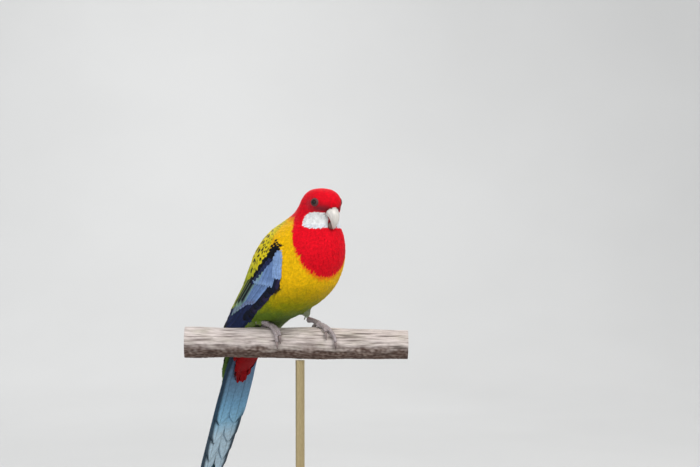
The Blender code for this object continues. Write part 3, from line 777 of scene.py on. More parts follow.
class Coat:
    """Gathers the vanes of one piece of the coat."""

    def __init__(self, name):
        self.name = name
        self.parts = []
        self.count = 0

    def add(self, corners, triangles, coat, heart, plain, roots):
        """Adds vanes alike in shape: corners and colours for each vane and corner, and each vane's root."""
        vanes, size = corners.shape[:2]
        shifts = self.count + np.arange(vanes)[:, None, None] * size
        patch = unwrap(roots)[:, None] + (plain * (0.5, 1.0) - (0.0, 0.5)) * BAKE_PATCH
        self.count += vanes * size
        self.parts.append((
            corners.reshape(-1, 3),
            (triangles + shifts).reshape(-1, 3),
            np.broadcast_to(coat, corners.shape).reshape(-1, 3),
            np.broadcast_to(heart, corners.shape).reshape(-1, 3),
            np.tile(plain * (0.5, 1.0) + (0.5, 0.0), (vanes, 1)),
            patch.reshape(-1, 2),
        ))

    def piece(self, material, slot):
        """The gathered vanes as a piece of the model."""
        corners, triangles, coat, heart, vane, bake = (np.concatenate(rows) for rows in zip(*self.parts))
        add_piece(self.name, corners, triangles, coat, material, slot, heart=heart, Vane=vane, OFBake=bake)


def unwrap(points):
    """The skin unrolled round the body's own axis, for the map that finishes are baked through."""
    side = unit(np.cross(BODY_LIE, (1.0, 0.0, 0.0)))
    away = points - BETWEEN_EYES
    along = away @ BODY_LIE
    rest = away - along[:, None] * BODY_LIE
    turn = np.arctan2(rest[:, 0], rest @ side) / (2.0 * math.pi)
    return np.stack([0.02 + 0.96 * (turn + 0.5), (along - UNWRAP_START) / UNWRAP_LENGTH], 1)


def feather_size(points):
    """How far apart the feathers' roots are, which sets every other size of a feather."""
    height = on_bird(points)[:, 2]
    behind = blend_step(96.0, 118.0, back_angle(points))
    size = read_off(height, ROOT_GAPS) + behind * read_off(height, BACK_GAPS)
    face = np.minimum(blend_step(8.0, 26.0, from_bill(points)), blend_step(4.0, 12.0, from_eye(points)))
    face = np.minimum(face, blend_step(3.0, 12.0, from_shank(points)))
    return size * (0.70 + 0.30 * face)


def scatter(skin, rng, count):
    """Roots spread over the skin, each as far from the others as its size asks."""
    spans = skin.corners[skin.triangles]
    crowd = skin.areas / feather_size(spans.mean(1)) ** 2
    faces = rng.choice(len(skin.areas), count, p=crowd / crowd.sum())
    first, second = rng.random(count), rng.random(count)
    over = first + second > 1.0
    first[over], second[over] = 1.0 - first[over], 1.0 - second[over]
    start, one, two = spans[faces].transpose(1, 0, 2)
    points = start + first[:, None] * (one - start) + second[:, None] * (two - start)
    size = feather_size(points)
    kept = spaced(points, size, range(count))
    return points[kept], size[kept]


def grow_feathers(coat, skin, flesh, roots, size, rng, outline, steps, long, wide):
    """Vanes that start on the skin and lie along it, each tip up at the surface of the solids."""
    a, b, plain, triangles = outline
    count = len(roots)
    length = size * long * rng.uniform(0.9, 1.12, count)
    half = size * wide * rng.uniform(0.92, 1.1, count)
    stride = (length / steps)[:, None]
    place, normal, _ = skin.nearest(roots)
    turn = rng.normal(0.0, 0.07, count)
    line, normals, sides = [], [], []
    for step in range(steps + 1):
        ahead = lie(place, normal)
        side = np.cross(normal, ahead)
        ahead = ahead * np.cos(turn)[:, None] + side * np.sin(turn)[:, None]
        line.append(place)
        normals.append(normal)
        sides.append(np.cross(normal, ahead))
        if step < steps:
            target = place + ahead * stride
            found, turned_up, _ = skin.nearest(target)
            loose = np.linalg.norm(found - target, axis=1)[:, None] > 0.35 * stride
            place = np.where(loose, place + flow(place) * stride, found)
            normal = np.where(loose, normal, turned_up)
    _, _, faces = flesh.nearest(line[-1])
    colours, dark = markings(line[-1] * 0.75 + line[0] * 0.25, flesh.owners[faces])
    tip = coat_depth(line[-1]) + rng.uniform(-0.16, 0.04, count)
    along = np.clip(a, 0.0, 1.0)
    low = np.minimum((along * steps).astype(int), steps - 1)
    part = (along * steps - low)[None, :, None]
    paths = (np.stack(rows, 1) for rows in (line, normals, sides))
    centre, up, out = (rows[:, low] * (1.0 - part) + rows[:, low + 1] * part for rows in paths)
    rise = 0.08 + (tip[:, None] - 0.08) * along**0.7
    rise = rise - 0.45 * b**2 * np.minimum(half[:, None] * 0.28, 0.8)
    corners = centre + out * (b * half[:, None])[:, :, None] + up * rise[:, :, None]
    colours = colours * rng.uniform(0.94, 1.04, (count, 1))
    # Painted shade: each vane is darker towards its root, where the feathers above overlap it.
    edge = colours[:, None, :] * (0.80 + 0.20 * along[None, :, None])
    coat.add(corners, triangles, edge, mix(edge, JET, dark[:, None]), plain, roots)


def bare_places(points):
    """Where no small feathers grow: round the eyes, on the bill and under the wings' own rows."""
    bill, _, _ = Surface(*solid("bill_upper", "bill_lower")).nearest(points)
    on_bill = np.linalg.norm(bill - points, axis=1) < 0.5
    return on_bill | (from_eye(points) < EYE_GAP) | (in_wing_rows(points) > 0.5)


def add_plumage(skin, flesh, material):
    """The small feathers of the whole body, grouped by size."""
    rng = np.random.default_rng(SEED)
    roots, size = scatter(skin, rng, ROOTS_TRIED)
    _, normals, _ = skin.nearest(roots)
    steep = np.abs((flow(roots) * normals).sum(1)) > STEEP
    grown = ~(bare_places(roots) | steep)
    roots, size = roots[grown], size[grown]
    groups = (  # name, least and greatest size, outline, steps along, and length and half width by size
        ("plumage_head", 0.0, 0.98, vane_outline(7, 5, 0.5), 4, 4.7, 0.76),
        ("plumage_breast", 0.98, 2.00, vane_outline(8, 5, 0.45), 5, 5.3, 0.90),
        ("plumage_back", 2.00, 9.0, vane_outline(11, 7, 0.42), 5, 3.5, 0.92),
    )
    for name, least, most, outline, steps, long, wide in groups:
        chosen = np.flatnonzero((size >= least) & (size < most))
        chosen = chosen[np.argsort(roots[chosen, 2])]
        parts = -(-len(chosen) * len(outline[3]) // MOST_TRIANGLES)
        for number, part in enumerate(np.array_split(chosen, parts), 1):
            coat = Coat(f"{name}_{number}")
            grow_feathers(coat, skin, flesh, roots[part], size[part], rng, outline, steps, long, wide)
            coat.piece(material, "plumage_gold")


# ---- the wings

MANTLE_EDGE = (
    (-10.0, 4.0), (0.0, 8.0), (14.0, 7.0), (34.0, 5.0), (46.0, -4.0), (58.0, -14.0), (74.0, -30.0),
)
ROWS_FRONT = (
    (0.0, 16.0), (10.0, 23.0), (18.0, 25.5), (25.0, 31.0), (32.0, 34.0), (42.0, 31.0), (60.0, 23.5),
    (75.0, 17.0), (92.0, 11.5), (134.0, 11.5),
)
ROWS_BACK = ((80.0, -30.0), (88.0, -20.0), (110.0, -12.0), (134.0, -2.0))


class Wing:
    """A folded wing's own frame: from shoulder to tip, across to its leading edge, and outwards."""

    STEP = 1.5

    def __init__(self, side):
        corners, triangles, _ = solid(f"wing_{side}")
        self.side = side
        top = corners[corners[:, 2] > corners[:, 2].max() - 0.05]
        low = corners[corners[:, 2] < corners[:, 2].min() + 0.05]
        self.shoulder = top[top[:, 1].argmin()]
        span = low[low[:, 1].argmin()] - self.shoulder
        self.length = np.linalg.norm(span)
        self.along = span / self.length
        faces = face_vectors(corners, triangles)
        outward = 1.0 if side == "left" else -1.0
        out = faces[faces[:, 0] * outward > 0.2 * np.linalg.norm(faces, axis=1)].sum(0)
        self.out = unit(out - self.along * (out @ self.along))
        self.across = facing(np.cross(self.out, self.along), (0.0, -1.0, 0.0))
        flat = self.flatten(corners)
        self.stops = np.arange(0.0, self.length, 5.0)
        near = [flat[np.abs(flat[:, 0] - stop) < 4.0, 1] for stop in self.stops]
        self.front = np.array([row.max() for row in near])
        self.back = np.array([row.min() for row in near])
        self.survey()

    def flatten(self, points):
        """Places in the wing's frame."""
        return (points - self.shoulder) @ np.stack([self.along, self.across, self.out], 1)

    def front_at(self, along):
        """How far forward the wing's own rows of feathers reach."""
        return np.minimum(np.interp(along, self.stops, self.front), read_off(along, ROWS_FRONT))

    def survey(self):
        """Reads the height of the solids' outer surface over the wing on a grid, and evens it."""
        tree = Surface(*solid("wing_left", "wing_right", "trunk", "neck", "uppertail_coverts")).tree
        self.rows = np.arange(-16.0, self.length + 16.0, self.STEP)
        self.columns = np.arange(-40.0, 52.0, self.STEP)
        height = np.full((len(self.rows), len(self.columns)), np.nan)
        for i, row in enumerate(self.rows):
            for j, column in enumerate(self.columns):
                start = self.shoulder + self.along * row + self.across * column + self.out * 40.0
                hit = tree.ray_cast(start.tolist(), (-self.out).tolist(), 58.0)[0]
                if hit is not None:
                    height[i, j] = (np.array(hit) - self.shoulder) @ self.out
        missing = np.isnan(height)
        height[missing] = -14.0
        tall, wide = height.shape
        for _ in range(3):
            padded = np.pad(height, 1, mode="edge")
            total = sum(padded[i:i + tall, j:j + wide] for i in range(3) for j in range(3))
            height = np.where(missing, height, total / 9.0)
        self.height = height

    def point(self, along, across, lift):
        """Places on the wing's surface, raised by lift."""
        i = np.clip((along - self.rows[0]) / self.STEP, 0, len(self.rows) - 1.001)
        j = np.clip((across - self.columns[0]) / self.STEP, 0, len(self.columns) - 1.001)
        low_i, low_j = i.astype(int), j.astype(int)
        di, dj = i - low_i, j - low_j
        grid = self.height
        height = (
            grid[low_i, low_j] * (1 - di) * (1 - dj) + grid[low_i + 1, low_j] * di * (1 - dj)
            + grid[low_i, low_j + 1] * (1 - di) * dj + grid[low_i + 1, low_j + 1] * di * dj
        )
        flat = along[..., None] * self.along + across[..., None] * self.across
        return self.shoulder + flat + (height + lift)[..., None] * self.out


def in_wing_rows(points):
    """1 where the wings' own rows of feathers lie, and 0 elsewhere on the body."""
    inside = np.zeros(len(points))
    for wing in WINGS.values():
        along, across, out = wing.flatten(points).T
        back = np.maximum(read_off(along, MANTLE_EDGE), np.interp(along, wing.stops, wing.back))
        back = np.maximum(back, read_off(along, ROWS_BACK))
        here = (across < wing.front_at(along) - 1.0) & (across > back)
        inside[here & (along > -2.0) & (along < wing.length) & (out > -12.0)] = 1.0
    return inside


def wing_vane(coat, wing, root, tip, halves, lifts, colours, outline, bow=0.0, shaft=0.25):
    """One large feather from root to tip in the wing's frame, its front web narrower than its rear."""
    a, b, plain, triangles = outline
    span = np.array(tip) - np.array(root)
    length = np.linalg.norm(span)
    ahead = span / length
    fore = facing(np.array([-ahead[1], ahead[0]]), (0.0, 1.0))
    half = np.where(b > 0.0, halves[0], halves[1])
    bend = bow * np.sin(np.clip(a, 0.0, 1.0) * math.pi)
    sweep = 0.16 * np.abs(b) * half * (a < 0.9)
    flat = np.array(root) + np.outer(a * length + sweep, ahead) + np.outer(b * half + bend, fore)
    rise = lifts[0] + (lifts[1] - lifts[0]) * np.clip(a, 0.0, 1.0) - 0.10 * b**2 * half
    rise = rise + shaft * bell(b, 0.0, 0.08) * (1.0 - 0.7 * a)
    corners = wing.point(flat[:, 0], flat[:, 1], rise)
    edge, heart = colours(a, b)
    root_place = wing.point(np.array([root[0]]), np.array([root[1]]), np.array([0.0]))
    turned = triangles if wing.side == "right" else triangles[:, ::-1]
    coat.add(corners[None], turned, edge[None], heart[None], plain, root_place)


def web(base, fringe, width=0.3, tip=None, tip_start=0.75, dark_rear=0.0, both=False):
    """Colours of a large feather: its own, a fringe on its front web, a tip, and a darker rear web."""

    def colours(a, b):
        colour = np.repeat(np.array(base, float)[None], len(a), 0)
        if dark_rear:
            colour = mix(colour, JET, dark_rear * blend_step(-0.02, -0.30, b))
        if tip is not None:
            colour = mix(colour, tip, blend_step(tip_start, 0.97, a))
        edge = np.maximum(np.abs(b) if both else b, blend_step(0.85, 1.0, a))
        colour = mix(colour, fringe, blend_step(1.0 - width, 1.0, edge))
        colour = mix(colour, JET, 0.35 * bell(b, 0.0, 0.05))
        return colour, colour

    return colours


POINTED = long_outline(22, 0.5, 0.7, 0.10)
ROUNDED = long_outline(16, 0.34, 0.55, 0.22)
SMALL = long_outline(11, 0.5, 0.55, 0.25)


def add_wing(wing, material):
    """The rows of a folded wing, from its primaries out to the small coverts of its shoulder."""
    rng = np.random.default_rng(SEED + 1)
    coat = Coat(f"wing_feathers_{wing.side}")

    def shade(colour):
        """A colour as one feather has it, a little darker or lighter than the next."""
        return np.array(colour) * rng.uniform(0.85, 1.12)

    add_flight_feathers(coat, wing, shade)
    add_coverts(coat, wing, shade, wing.front_at)
    coat.piece(material, "plumage_blue")


def add_flight_feathers(coat, wing, shade):
    """The long feathers that show below the coverts, the lowest rows first."""
    for i in range(9):  # primaries, the outermost lowest
        root = (60.0 - 1.0 * i, 17.0 - 2.9 * i)
        tip = (wing.length - 1.5 - 5.0 * i, -3.5 - 2.1 * i)
        colours = web(shade(NAVY), NAVY_EDGE, 0.30, JET, 0.85, 0.8)
        lifts = (min(-1.4 + 0.09 * i, -1.1), -1.1 + 0.10 * i)
        wing_vane(coat, wing, root, tip, (2.7, 5.4), lifts, colours, POINTED, 1.2)
    for i in range(8):  # secondaries, blue in front and sea green behind
        root = (22.0, 25.0 - 2.9 * i)
        tip = (69.0 + 2.2 * i + 2.0 * max(0, i - 2), 12.0 - 2.5 * i)
        own, fringe = (SKY, PALE_SKY) if i < 5 else (MINT, MINT)
        colours = web(shade(own), fringe, 0.35, LAVENDER, 0.80, 0.55)
        wing_vane(coat, wing, root, tip, (2.4, 5.6), (-1.4, -0.75 + 0.07 * i), colours, ROUNDED, 0.8)
    for i in range(6):  # tertials, black with edges that turn from sea green to yellow green inwards
        root = (26.0 + 2.0 * i, 8.0 - 4.4 * i)
        end = 79.0 + 5.0 * i
        tip = (end, max(0.5 - 4.4 * i, np.interp(end, wing.stops, wing.back) + 2.0))
        edge = ramp(i / 5.0, ((0.0, MINT), (0.2, PALE_MINT), (0.5, BRIGHT_LIME), (1.0, LEMON)))
        colours = web(shade(JET if i < 3 else MOSS_YELLOW), edge, 0.95, both=i > 1)
        wing_vane(coat, wing, root, tip, (3.2, 4.6), (-1.1, -0.15 + 0.06 * i), colours, ROUNDED, 0.6)


def add_coverts(coat, wing, shade, front):
    """The shorter rows that lie over the flight feathers, up to the bend of the wing."""
    for i in range(9):  # primary coverts and the dark leading edge
        start = 15.0 + 6.0 * i
        root = (start, front(start) - 4.6)
        tip = (start + 27.0, front(start + 27.0) - 3.2)
        colours = web(shade(INK if i % 3 else VIOLET), VIOLET, 0.3, JET, 0.8, 0.6)
        wing_vane(coat, wing, root, tip, (2.4, 3.4), (-1.2, -0.55), colours, ROUNDED, 0.5)
    for i in range(9):  # greater coverts, the pale blue panel
        root = (12.0 + 1.5 * i, 21.5 - 1.8 * i)
        tip = (40.0 + 1.4 * i, 26.0 - 2.5 * i)
        own, fringe = (SKY, PALE_SKY) if i < 6 else (MINT, MINT)
        colours = web(shade(own), fringe, 0.5, PALE_SKY, 0.7, 0.18)
        wing_vane(coat, wing, root, tip, (2.2, 3.9), (-0.6, -0.02), colours, ROUNDED, 0.4, 0.12)
    for row in range(3):  # marginal coverts of the leading edge
        for i in range(5):
            start = 6.0 + 3.3 * i + 1.2 * row
            root = (start, front(start) - 1.8 - 2.6 * row)
            tip = (start + 9.5, front(start + 9.5) - 3.0 - 2.6 * row)
            colours = web(shade(PALE_SKY), SKY, 0.4)
            wing_vane(coat, wing, root, tip, (1.9, 2.1), (-0.2, 0.35), colours, SMALL, shaft=0.08)
    for i in range(2):  # alula, in front of the blue
        root = (18.0 + 2.0 * i, front(18.0) - 1.0 - 1.2 * i)
        tip = (41.0 + 5.0 * i, front(41.0) - 1.6 - 1.5 * i)
        colours = web(shade(INK if i % 2 else VIOLET), VIOLET, 0.3, JET, 0.8, 0.6)
        wing_vane(coat, wing, root, tip, (1.6, 2.3), (-0.4, 0.25), colours, ROUNDED, 1.6)
    for row in range(2):  # median coverts, the black and navy band
        for i in range(11):
            root = (-3.0 + 4.1 * i + 1.5 * row, 16.0 - 0.90 * i - 3.6 * row)
            tip = (root[0] + 13.5, root[1] - 1.2)
            own = NAVY if row == 0 and i > 2 else JET
            colours = web(shade(own), INK if i > 3 else JET, 0.5)
            sunk = 0.5 * max(0, 2 - i) * (1 - row)
            lifts = (-0.8, 0.12 + 0.1 * row - sunk)
            wing_vane(coat, wing, root, tip, (3.0, 3.3), lifts, colours, ROUNDED, shaft=0.12)
    for row in range(4):  # lesser coverts of the shoulder
        for i in range(4):
            root = (-3.0 + 3.2 * row, 6.5 + 2.5 * i + 1.2 * (row % 2))
            tip = (root[0] + 8.0, root[1] - 0.5)
            colours = web(shade(JET), JET)
            wing_vane(coat, wing, root, tip, (2.0, 2.1), (-1.5, 0.30), colours, SMALL, shaft=0.08)


# ---- the tail

TAIL_MIDDLE, TAIL_MIDDLE_EDGE = (0.014, 0.040, 0.048), (0.022, 0.075, 0.115)
TAIL_DARK = (0.016, 0.034, 0.058)
TAIL_BLUES = (  # for each height over the perch
    (-175.0, (0.55, 0.72, 0.84)), (-102.0, (0.52, 0.72, 0.86)), (-88.0, (0.30, 0.60, 0.84)),
    (-74.0, (0.21, 0.46, 0.70)), (-58.0, (0.16, 0.31, 0.48)), (-35.0, (0.13, 0.22, 0.36)),
)
TAIL_INNER = 0.5  # added towards the bird's midline, so that the two sides meet


def tail_colours(side, rank, across, height):
    """Colours of a tail feather: dark in the middle pairs, blue and paler to the tip in the others."""
    if rank <= 2:
        return mix(TAIL_MIDDLE, TAIL_MIDDLE_EDGE, blend_step(0.3, 1.0, np.abs(across)))
    edge = blend_step(0.34, 0.64, across if side == "left" else -across)
    if side == "left":
        edge = edge * blend_step(-76.0, -90.0, height)
    return mix(ramp(height, TAIL_BLUES), TAIL_DARK, 0.92 * edge)


def add_tail_feather(side, rank, material):
    """One tail feather: the solid's own blade with a raised shaft, closed round its thin edge."""
    node = f"tail_{side}_{rank}"
    blade = Surface(*solid(node))
    centre = blade.corners.mean(0)
    _, _, axes = np.linalg.svd(blade.corners - centre, full_matrices=False)
    along, across = facing(axes[0], (0.0, 0.0, -1.0)), facing(axes[1], (1.0, 0.0, 0.0))
    up = facing(np.cross(across, along), (0.0, 1.0, 0.0))
    flat = (blade.corners - centre) @ np.stack([along, across, up], 1)
    stations, columns = 56, len(VANE_COLUMNS)
    size = stations * columns
    rows = np.linspace(flat[:, 0].min() + 0.4, flat[:, 0].max() - 0.4, stations)
    low, high = np.transpose([slice_edges(flat, blade.triangles, row) for row in rows])[:, :, None]
    if rank > 1:
        low, high = (low - TAIL_INNER, high) if side == "left" else (low, high + TAIL_INNER)
    reach = (low + (high - low) * (0.5 + 0.492 * VANE_COLUMNS)).ravel()
    place, share = np.tile(VANE_COLUMNS, stations), np.repeat(np.arange(stations) / stations, columns)
    middle = centre + np.outer(np.repeat(rows, columns), along) + np.outer(reach, across)
    ridge = 0.18 * bell(place, 0.0, 0.09) * (1.0 - 0.75 * share) - 0.20
    faces = [
        ray_hits(blade.tree, middle + way * 30.0, np.broadcast_to(-way, middle.shape), middle)
        + np.outer(ridge, way)
        for way in (up, -up)
    ]
    grid = np.arange(size).reshape(stations, columns)
    rim = np.concatenate([grid[0], grid[1:-1, -1], grid[-1, ::-1], grid[-2:0:-1, 0]])
    sheet = lattice(stations, columns)
    triangles = np.concatenate([sheet, sheet[:, ::-1] + size, band(rim, rim + size)])
    colour = tail_colours(side, rank, place, on_bird(faces[0])[:, 2])
    colour = np.tile(mix(colour, colour * 0.55, bell(place, 0.0, 0.05)), (2, 1))
    vane = np.stack([place / 2 + 0.5, np.repeat(np.linspace(0.0, 1.0, stations), columns)], 1)
    add_piece(
        f"rectrix_{side}_{rank}", np.concatenate(faces), triangles, colour, material, "plumage_tail", node,
        heart=colour, Vane=np.tile(vane, (2, 1)),
    )


def slice_edges(flat, triangles, row):
    """The least and greatest reach across a blade at one place along it."""
    spans = flat[triangles]
    reach = []
    for i in range(3):
        first, second = spans[:, i], spans[:, (i + 1) % 3]
        crossing = (first[:, 0] - row) * (second[:, 0] - row) < 0.0
        first, second = first[crossing], second[crossing]
        part = (row - first[:, 0]) / (second[:, 0] - first[:, 0])
        reach.append(first[:, 1] + part * (second[:, 1] - first[:, 1]))
    reach = np.concatenate(reach)
    return reach.min(), reach.max()


# ---- the head's hard parts

EYE_COLOURS = (  # for each angle from the eye's axis: pupil, iris and the dark rim behind it
    (0.0, (0.002, 0.002, 0.002)), (18.0, (0.002, 0.002, 0.002)), (20.0, (0.022, 0.008, 0.004)),
    (30.0, (0.040, 0.014, 0.007)), (35.0, (0.006, 0.004, 0.003)), (60.0, (0.02, 0.01, 0.01)),
)
CORNEA = 0.045  # how far the front of the eye bulges, as a share of its radius
LID_PROFILE = (  # how far from the eye's axis and how high over its centre, outwards and back under
    (2.15, 3.74), (2.25, 3.88), (2.38, 3.94), (2.55, 3.86), (2.75, 3.82), (2.95, 3.68), (3.15, 3.62),
    (3.40, 3.40), (3.65, 3.16), (3.90, 2.60), (3.70, 1.90), (3.10, 2.30), (2.50, 3.20),
)
BILL_COLOURS = {  # for each height from the eyes
    "upper": ((-24.0, (0.62, 0.50, 0.46)), (-19.0, (0.86, 0.84, 0.81)), (-6.0, (0.94, 0.93, 0.92))),
    # Painted shade: the lower bill is laid on dark grey-brown, darkest up under the upper bill, as the
    # shade at the gape; its horn is paler.
    "lower": ((-24.0, (0.75, 0.48, 0.42)), (-19.0, (0.55, 0.45, 0.40)), (-14.0, (0.4, 0.34, 0.3))),
}
LID_RIM = 2.3  # how far from the eye's axis the lids turn over
CERE_HALF, NOSTRIL_TURN = math.radians(78.0), math.radians(27.0)  # round the bill from its ridge


def add_eye(side, material, lids):
    """An eyeball with its iris and pupil, and the lids round it."""
    low, high = (np.array(corner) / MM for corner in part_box(f"eye_{side}"))
    radius = (high - low).max() / 2.0
    centre, axis = EYES[side], EYE_AXES[side]
    first = unit(np.cross(axis, (0.0, 0.0, 1.0)))
    second = np.cross(first, axis)
    polar = np.linspace(0.0, math.pi * 0.86, 40)[1:]
    bulge = radius * (1.0 + CORNEA * bell(polar, 0.0, 0.55))
    outline = np.stack([np.sin(polar) * bulge, np.cos(polar) * bulge], 1)
    corners, triangles = turned(centre, axis, first, second, outline, 56, radius * (1.0 + CORNEA))
    spread = np.degrees(np.arccos(np.clip(unit(corners - centre) @ axis, -1.0, 1.0)))
    name = f"eyeball_{side}"
    add_piece(name, corners, triangles, ramp(spread, EYE_COLOURS), material, "eye", f"eye_{side}")
    add_lids(side, centre, axis, first, second, lids)


def add_lids(side, centre, axis, first, second, material):
    """Bare, wrinkled skin in a narrow ring round the open eye."""
    around = 148
    corners, colours = [], []
    for turn in np.linspace(0.0, 2.0 * math.pi, around, endpoint=False):
        out = first * math.cos(turn) + second * math.sin(turn)
        oval = 1.0 - 0.07 * math.sin(turn) ** 2
        for reach, rise in LID_PROFILE:
            place = Vector((out @ HEAD_AHEAD, out[2], 0.0)) * reach * 3.0
            fold = noise.noise(place + Vector((0.0, 0.0, reach * 2.0)))
            crease = 0.12 * fold * min(1.0, max(0.0, reach - LID_RIM))
            corners.append(centre + out * reach * oval + axis * (rise + crease))
            shade = mix((0.125, 0.045, 0.045), (0.065, 0.020, 0.022), 0.5 + 0.8 * fold)
            colours.append(mix(shade, (0.03, 0.02, 0.02), bell(reach, LID_RIM, 0.25)))
    triangles = lattice(around, len(LID_PROFILE), closed_rows=True, closed_columns=True)
    colours = np.clip(colours, 0.0, 1.0)
    add_piece(f"eyelids_{side}", np.array(corners), triangles, colours, material, "foot_skin")


def turned(centre, axis, first, second, outline, around, cap):
    """A turned shape: a pole, a ring of corners for each place of the outline, and a flat back."""
    turns = np.linspace(0.0, 2.0 * math.pi, around, endpoint=False)[:, None]
    out = first * np.cos(turns) + second * np.sin(turns)
    rings = [centre + axis * ahead + out * reach for reach, ahead in outline]
    corners = np.concatenate([[centre + axis * cap], *rings, [centre + axis * outline[-1][1]]])
    ring, back = np.arange(around), len(corners) - 1
    sides = lattice(len(outline), around, closed_columns=True)[:, ::-1] + 1
    return corners, np.concatenate([fan(0, 1 + ring), sides, fan(back, back - around + ring)[:, ::-1]])


def add_bill(half, material):
    """One half of the bill, smoothed from its solid."""
    node = f"bill_{half}"
    corners, triangles = remeshed([node], SMALL_VOXEL, 0.0, 5)
    colours = ramp(on_head(corners)[:, 2], BILL_COLOURS[half])
    add_piece(f"{half}_bill", corners, triangles, colours, material, "horn", node)


def add_cere(material):
    """The fleshy band over the root of the bill, with its two nostrils."""
    steps, around = 48, 14
    corners, colours = [], []
    for turn in np.linspace(-CERE_HALF, CERE_HALF, steps):
        fall = 1.0 - math.cos(turn)
        centre = np.array([5.9 * math.sin(turn), 10.6 - 3.2 * fall, -4.6 - 9.0 * fall])
        thick = 1.25 * (1.0 - 0.75 * (abs(turn) / CERE_HALF) ** 3)
        nostril = bell(abs(turn), NOSTRIL_TURN, 0.085)
        outward = unit(np.array([math.sin(turn), 0.35, math.cos(turn)]))
        ahead = unit(np.cross(outward, (math.cos(turn), 0.0, -math.sin(turn))))
        for angle in np.linspace(0.0, 2.0 * math.pi, around, endpoint=False):
            pit = nostril * max(0.0, math.cos(angle - 0.4)) ** 4
            reach = thick * (1.0 - 0.55 * pit)
            place = centre + outward * reach * math.cos(angle) + ahead * reach * 1.1 * math.sin(angle)
            corners.append(BETWEEN_EYES + HEAD_AXES @ place)
            # Painted shade: the nostril pits are laid near black, as the shade inside them.
            colours.append(mix((0.60, 0.55, 0.52), (0.03, 0.02, 0.02), min(1.0, 1.6 * pit)))
    triangles = lattice(steps, around, closed_columns=True)
    add_piece("cere", np.array(corners), triangles, np.array(colours), material, "horn")


# ---- feet and claws

SCALE_GAP = 1.05


def add_foot(side, material):
    """A foot with small scales all over, pinker in the creases between them and darker there as painted
    shade.
    """
    node = f"foot_{side}"
    corners, triangles = remeshed([node], SMALL_VOXEL, 0.1, 2)
    rng = np.random.default_rng(SEED + 2)
    seeds = spaced(corners, np.full(len(corners), SCALE_GAP), rng.permutation(len(corners)))
    tones = rng.uniform(0.8, 1.15, len(seeds))
    scales = near_tree(corners[seeds])
    found = [scales.find_n(point, 2) for point in corners.tolist()]
    own = np.array([hits[0][1] for hits in found])
    near, far = np.array([[hit[2] for hit in hits] for hits in found]).T
    dome = np.minimum(1.0, (far - near) / (far + near + 1e-6) * 2.2)
    scale = np.outer(tones[own], (0.36, 0.335, 0.34))
    # Painted shade: the creases are darker as well as pinker than the scales.
    colour = mix((0.26, 0.15, 0.15), scale, dome**0.5)
    colour = mix(colour, colour * (1.0, 0.55, 0.55), blend_step(6.0, 10.0, on_bird(corners)[:, 2]))
    rise = -0.16 + 0.20 * dome**0.6
    corners = corners + Surface(corners, triangles).normals * rise[:, None]
    add_piece(f"scaled_{node}", corners, triangles, colour, material, "foot_skin", node)


def add_claw(side, number, material):
    """A claw of dark horn, paler at its root."""
    node = f"claw_{side}_{number}"
    corners, triangles = remeshed([node], CLAW_VOXEL, 0.12, 2)
    tip = blend_step(corners[:, 2].max(), corners[:, 2].min(), corners[:, 2])
    colour = mix((0.80, 0.70, 0.66), (0.42, 0.34, 0.32), tip)
    add_piece(f"horn_{node}", corners, triangles, colour, material, "claw", node)


# ---- perch and stand

SAWN, HEARTWOOD = (0.52, 0.40, 0.28), (0.40, 0.30, 0.20)
SAWN_RINGS = 8


def add_perch(material):
    """The cut branch: bleached grain on top, rough bark below painted dark as its shade, and sawn ends with
    rings.
    """
    branch = Surface(*solid("perch"))
    centre = (branch.corners.max(0) + branch.corners.min(0)) / 2.0
    _, _, axes = np.linalg.svd(branch.corners - branch.corners.mean(0), full_matrices=False)
    along = facing(axes[0], (1.0, 0.0, 0.0))
    up = unit(np.array([0.0, 0.0, 1.0]) - along * along[2])
    side = np.cross(along, up)
    reach = (branch.corners - centre) @ along
    start, end = reach.min(), reach.max()
    lengths, around = 320, 128
    angles = np.linspace(0.0, 2.0 * math.pi, around, endpoint=False)
    out = up * np.cos(angles)[:, None] + side * np.sin(angles)[:, None]
    corners, colours, unrolled = [], [], []
    for place in np.linspace(start, end, lengths):
        middle = centre + along * min(max(place, start + 0.3), end - 0.3)
        hits = ray_hits(branch.tree, middle + out * 40.0, -out, middle + out)
        for angle, way, radius in zip(angles, out, ((hits - middle) * out).sum(1)):
            depth, colour = bark(place, angle, radius)
            corners.append(centre + along * place + way * (radius - depth))
            colours.append(colour)
            unrolled.append((place / 100.0, angle * PERCH_RADIUS / 100.0))
    triangles = [lattice(lengths, around, closed_columns=True)]
    index = np.arange(around)
    for first, place, turn in ((0, start, 1), ((lengths - 1) * around, end, -1)):
        hub = centre + along * place
        rim = np.array(corners[first:first + around]) - hub
        ring, sawn = first + index, []
        for number in range(1, SAWN_RINGS + 1):
            share = 1.0 - number / (SAWN_RINGS + 1)
            grain = 0.10 * np.sin(number * 2.4 + 0.6 * np.sin(index * 0.12))
            shade = 0.75 + 0.25 * np.sin(number * 3.1 + 0.8 * np.sin(index * 0.1))
            sawn.append(band(ring, len(corners) + index))
            ring = len(corners) + index
            corners.extend(hub + np.outer(grain, along) + rim * share)
            colours.extend(np.outer(shade, SAWN))
            unrolled.extend((share, j * 0.001) for j in index)
        sawn.append(fan(len(corners), ring)[:, ::-1])
        corners.append(hub)
        colours.append(np.array(HEARTWOOD))
        unrolled.append((0.0, 0.0))
        triangles.append(np.concatenate(sawn)[:, ::turn])
    corners, colours, grain = np.array(corners), np.array(colours), np.array(unrolled)
    add_piece("branch", corners, np.concatenate(triangles), colours, material, "bark", "perch", Grain=grain)


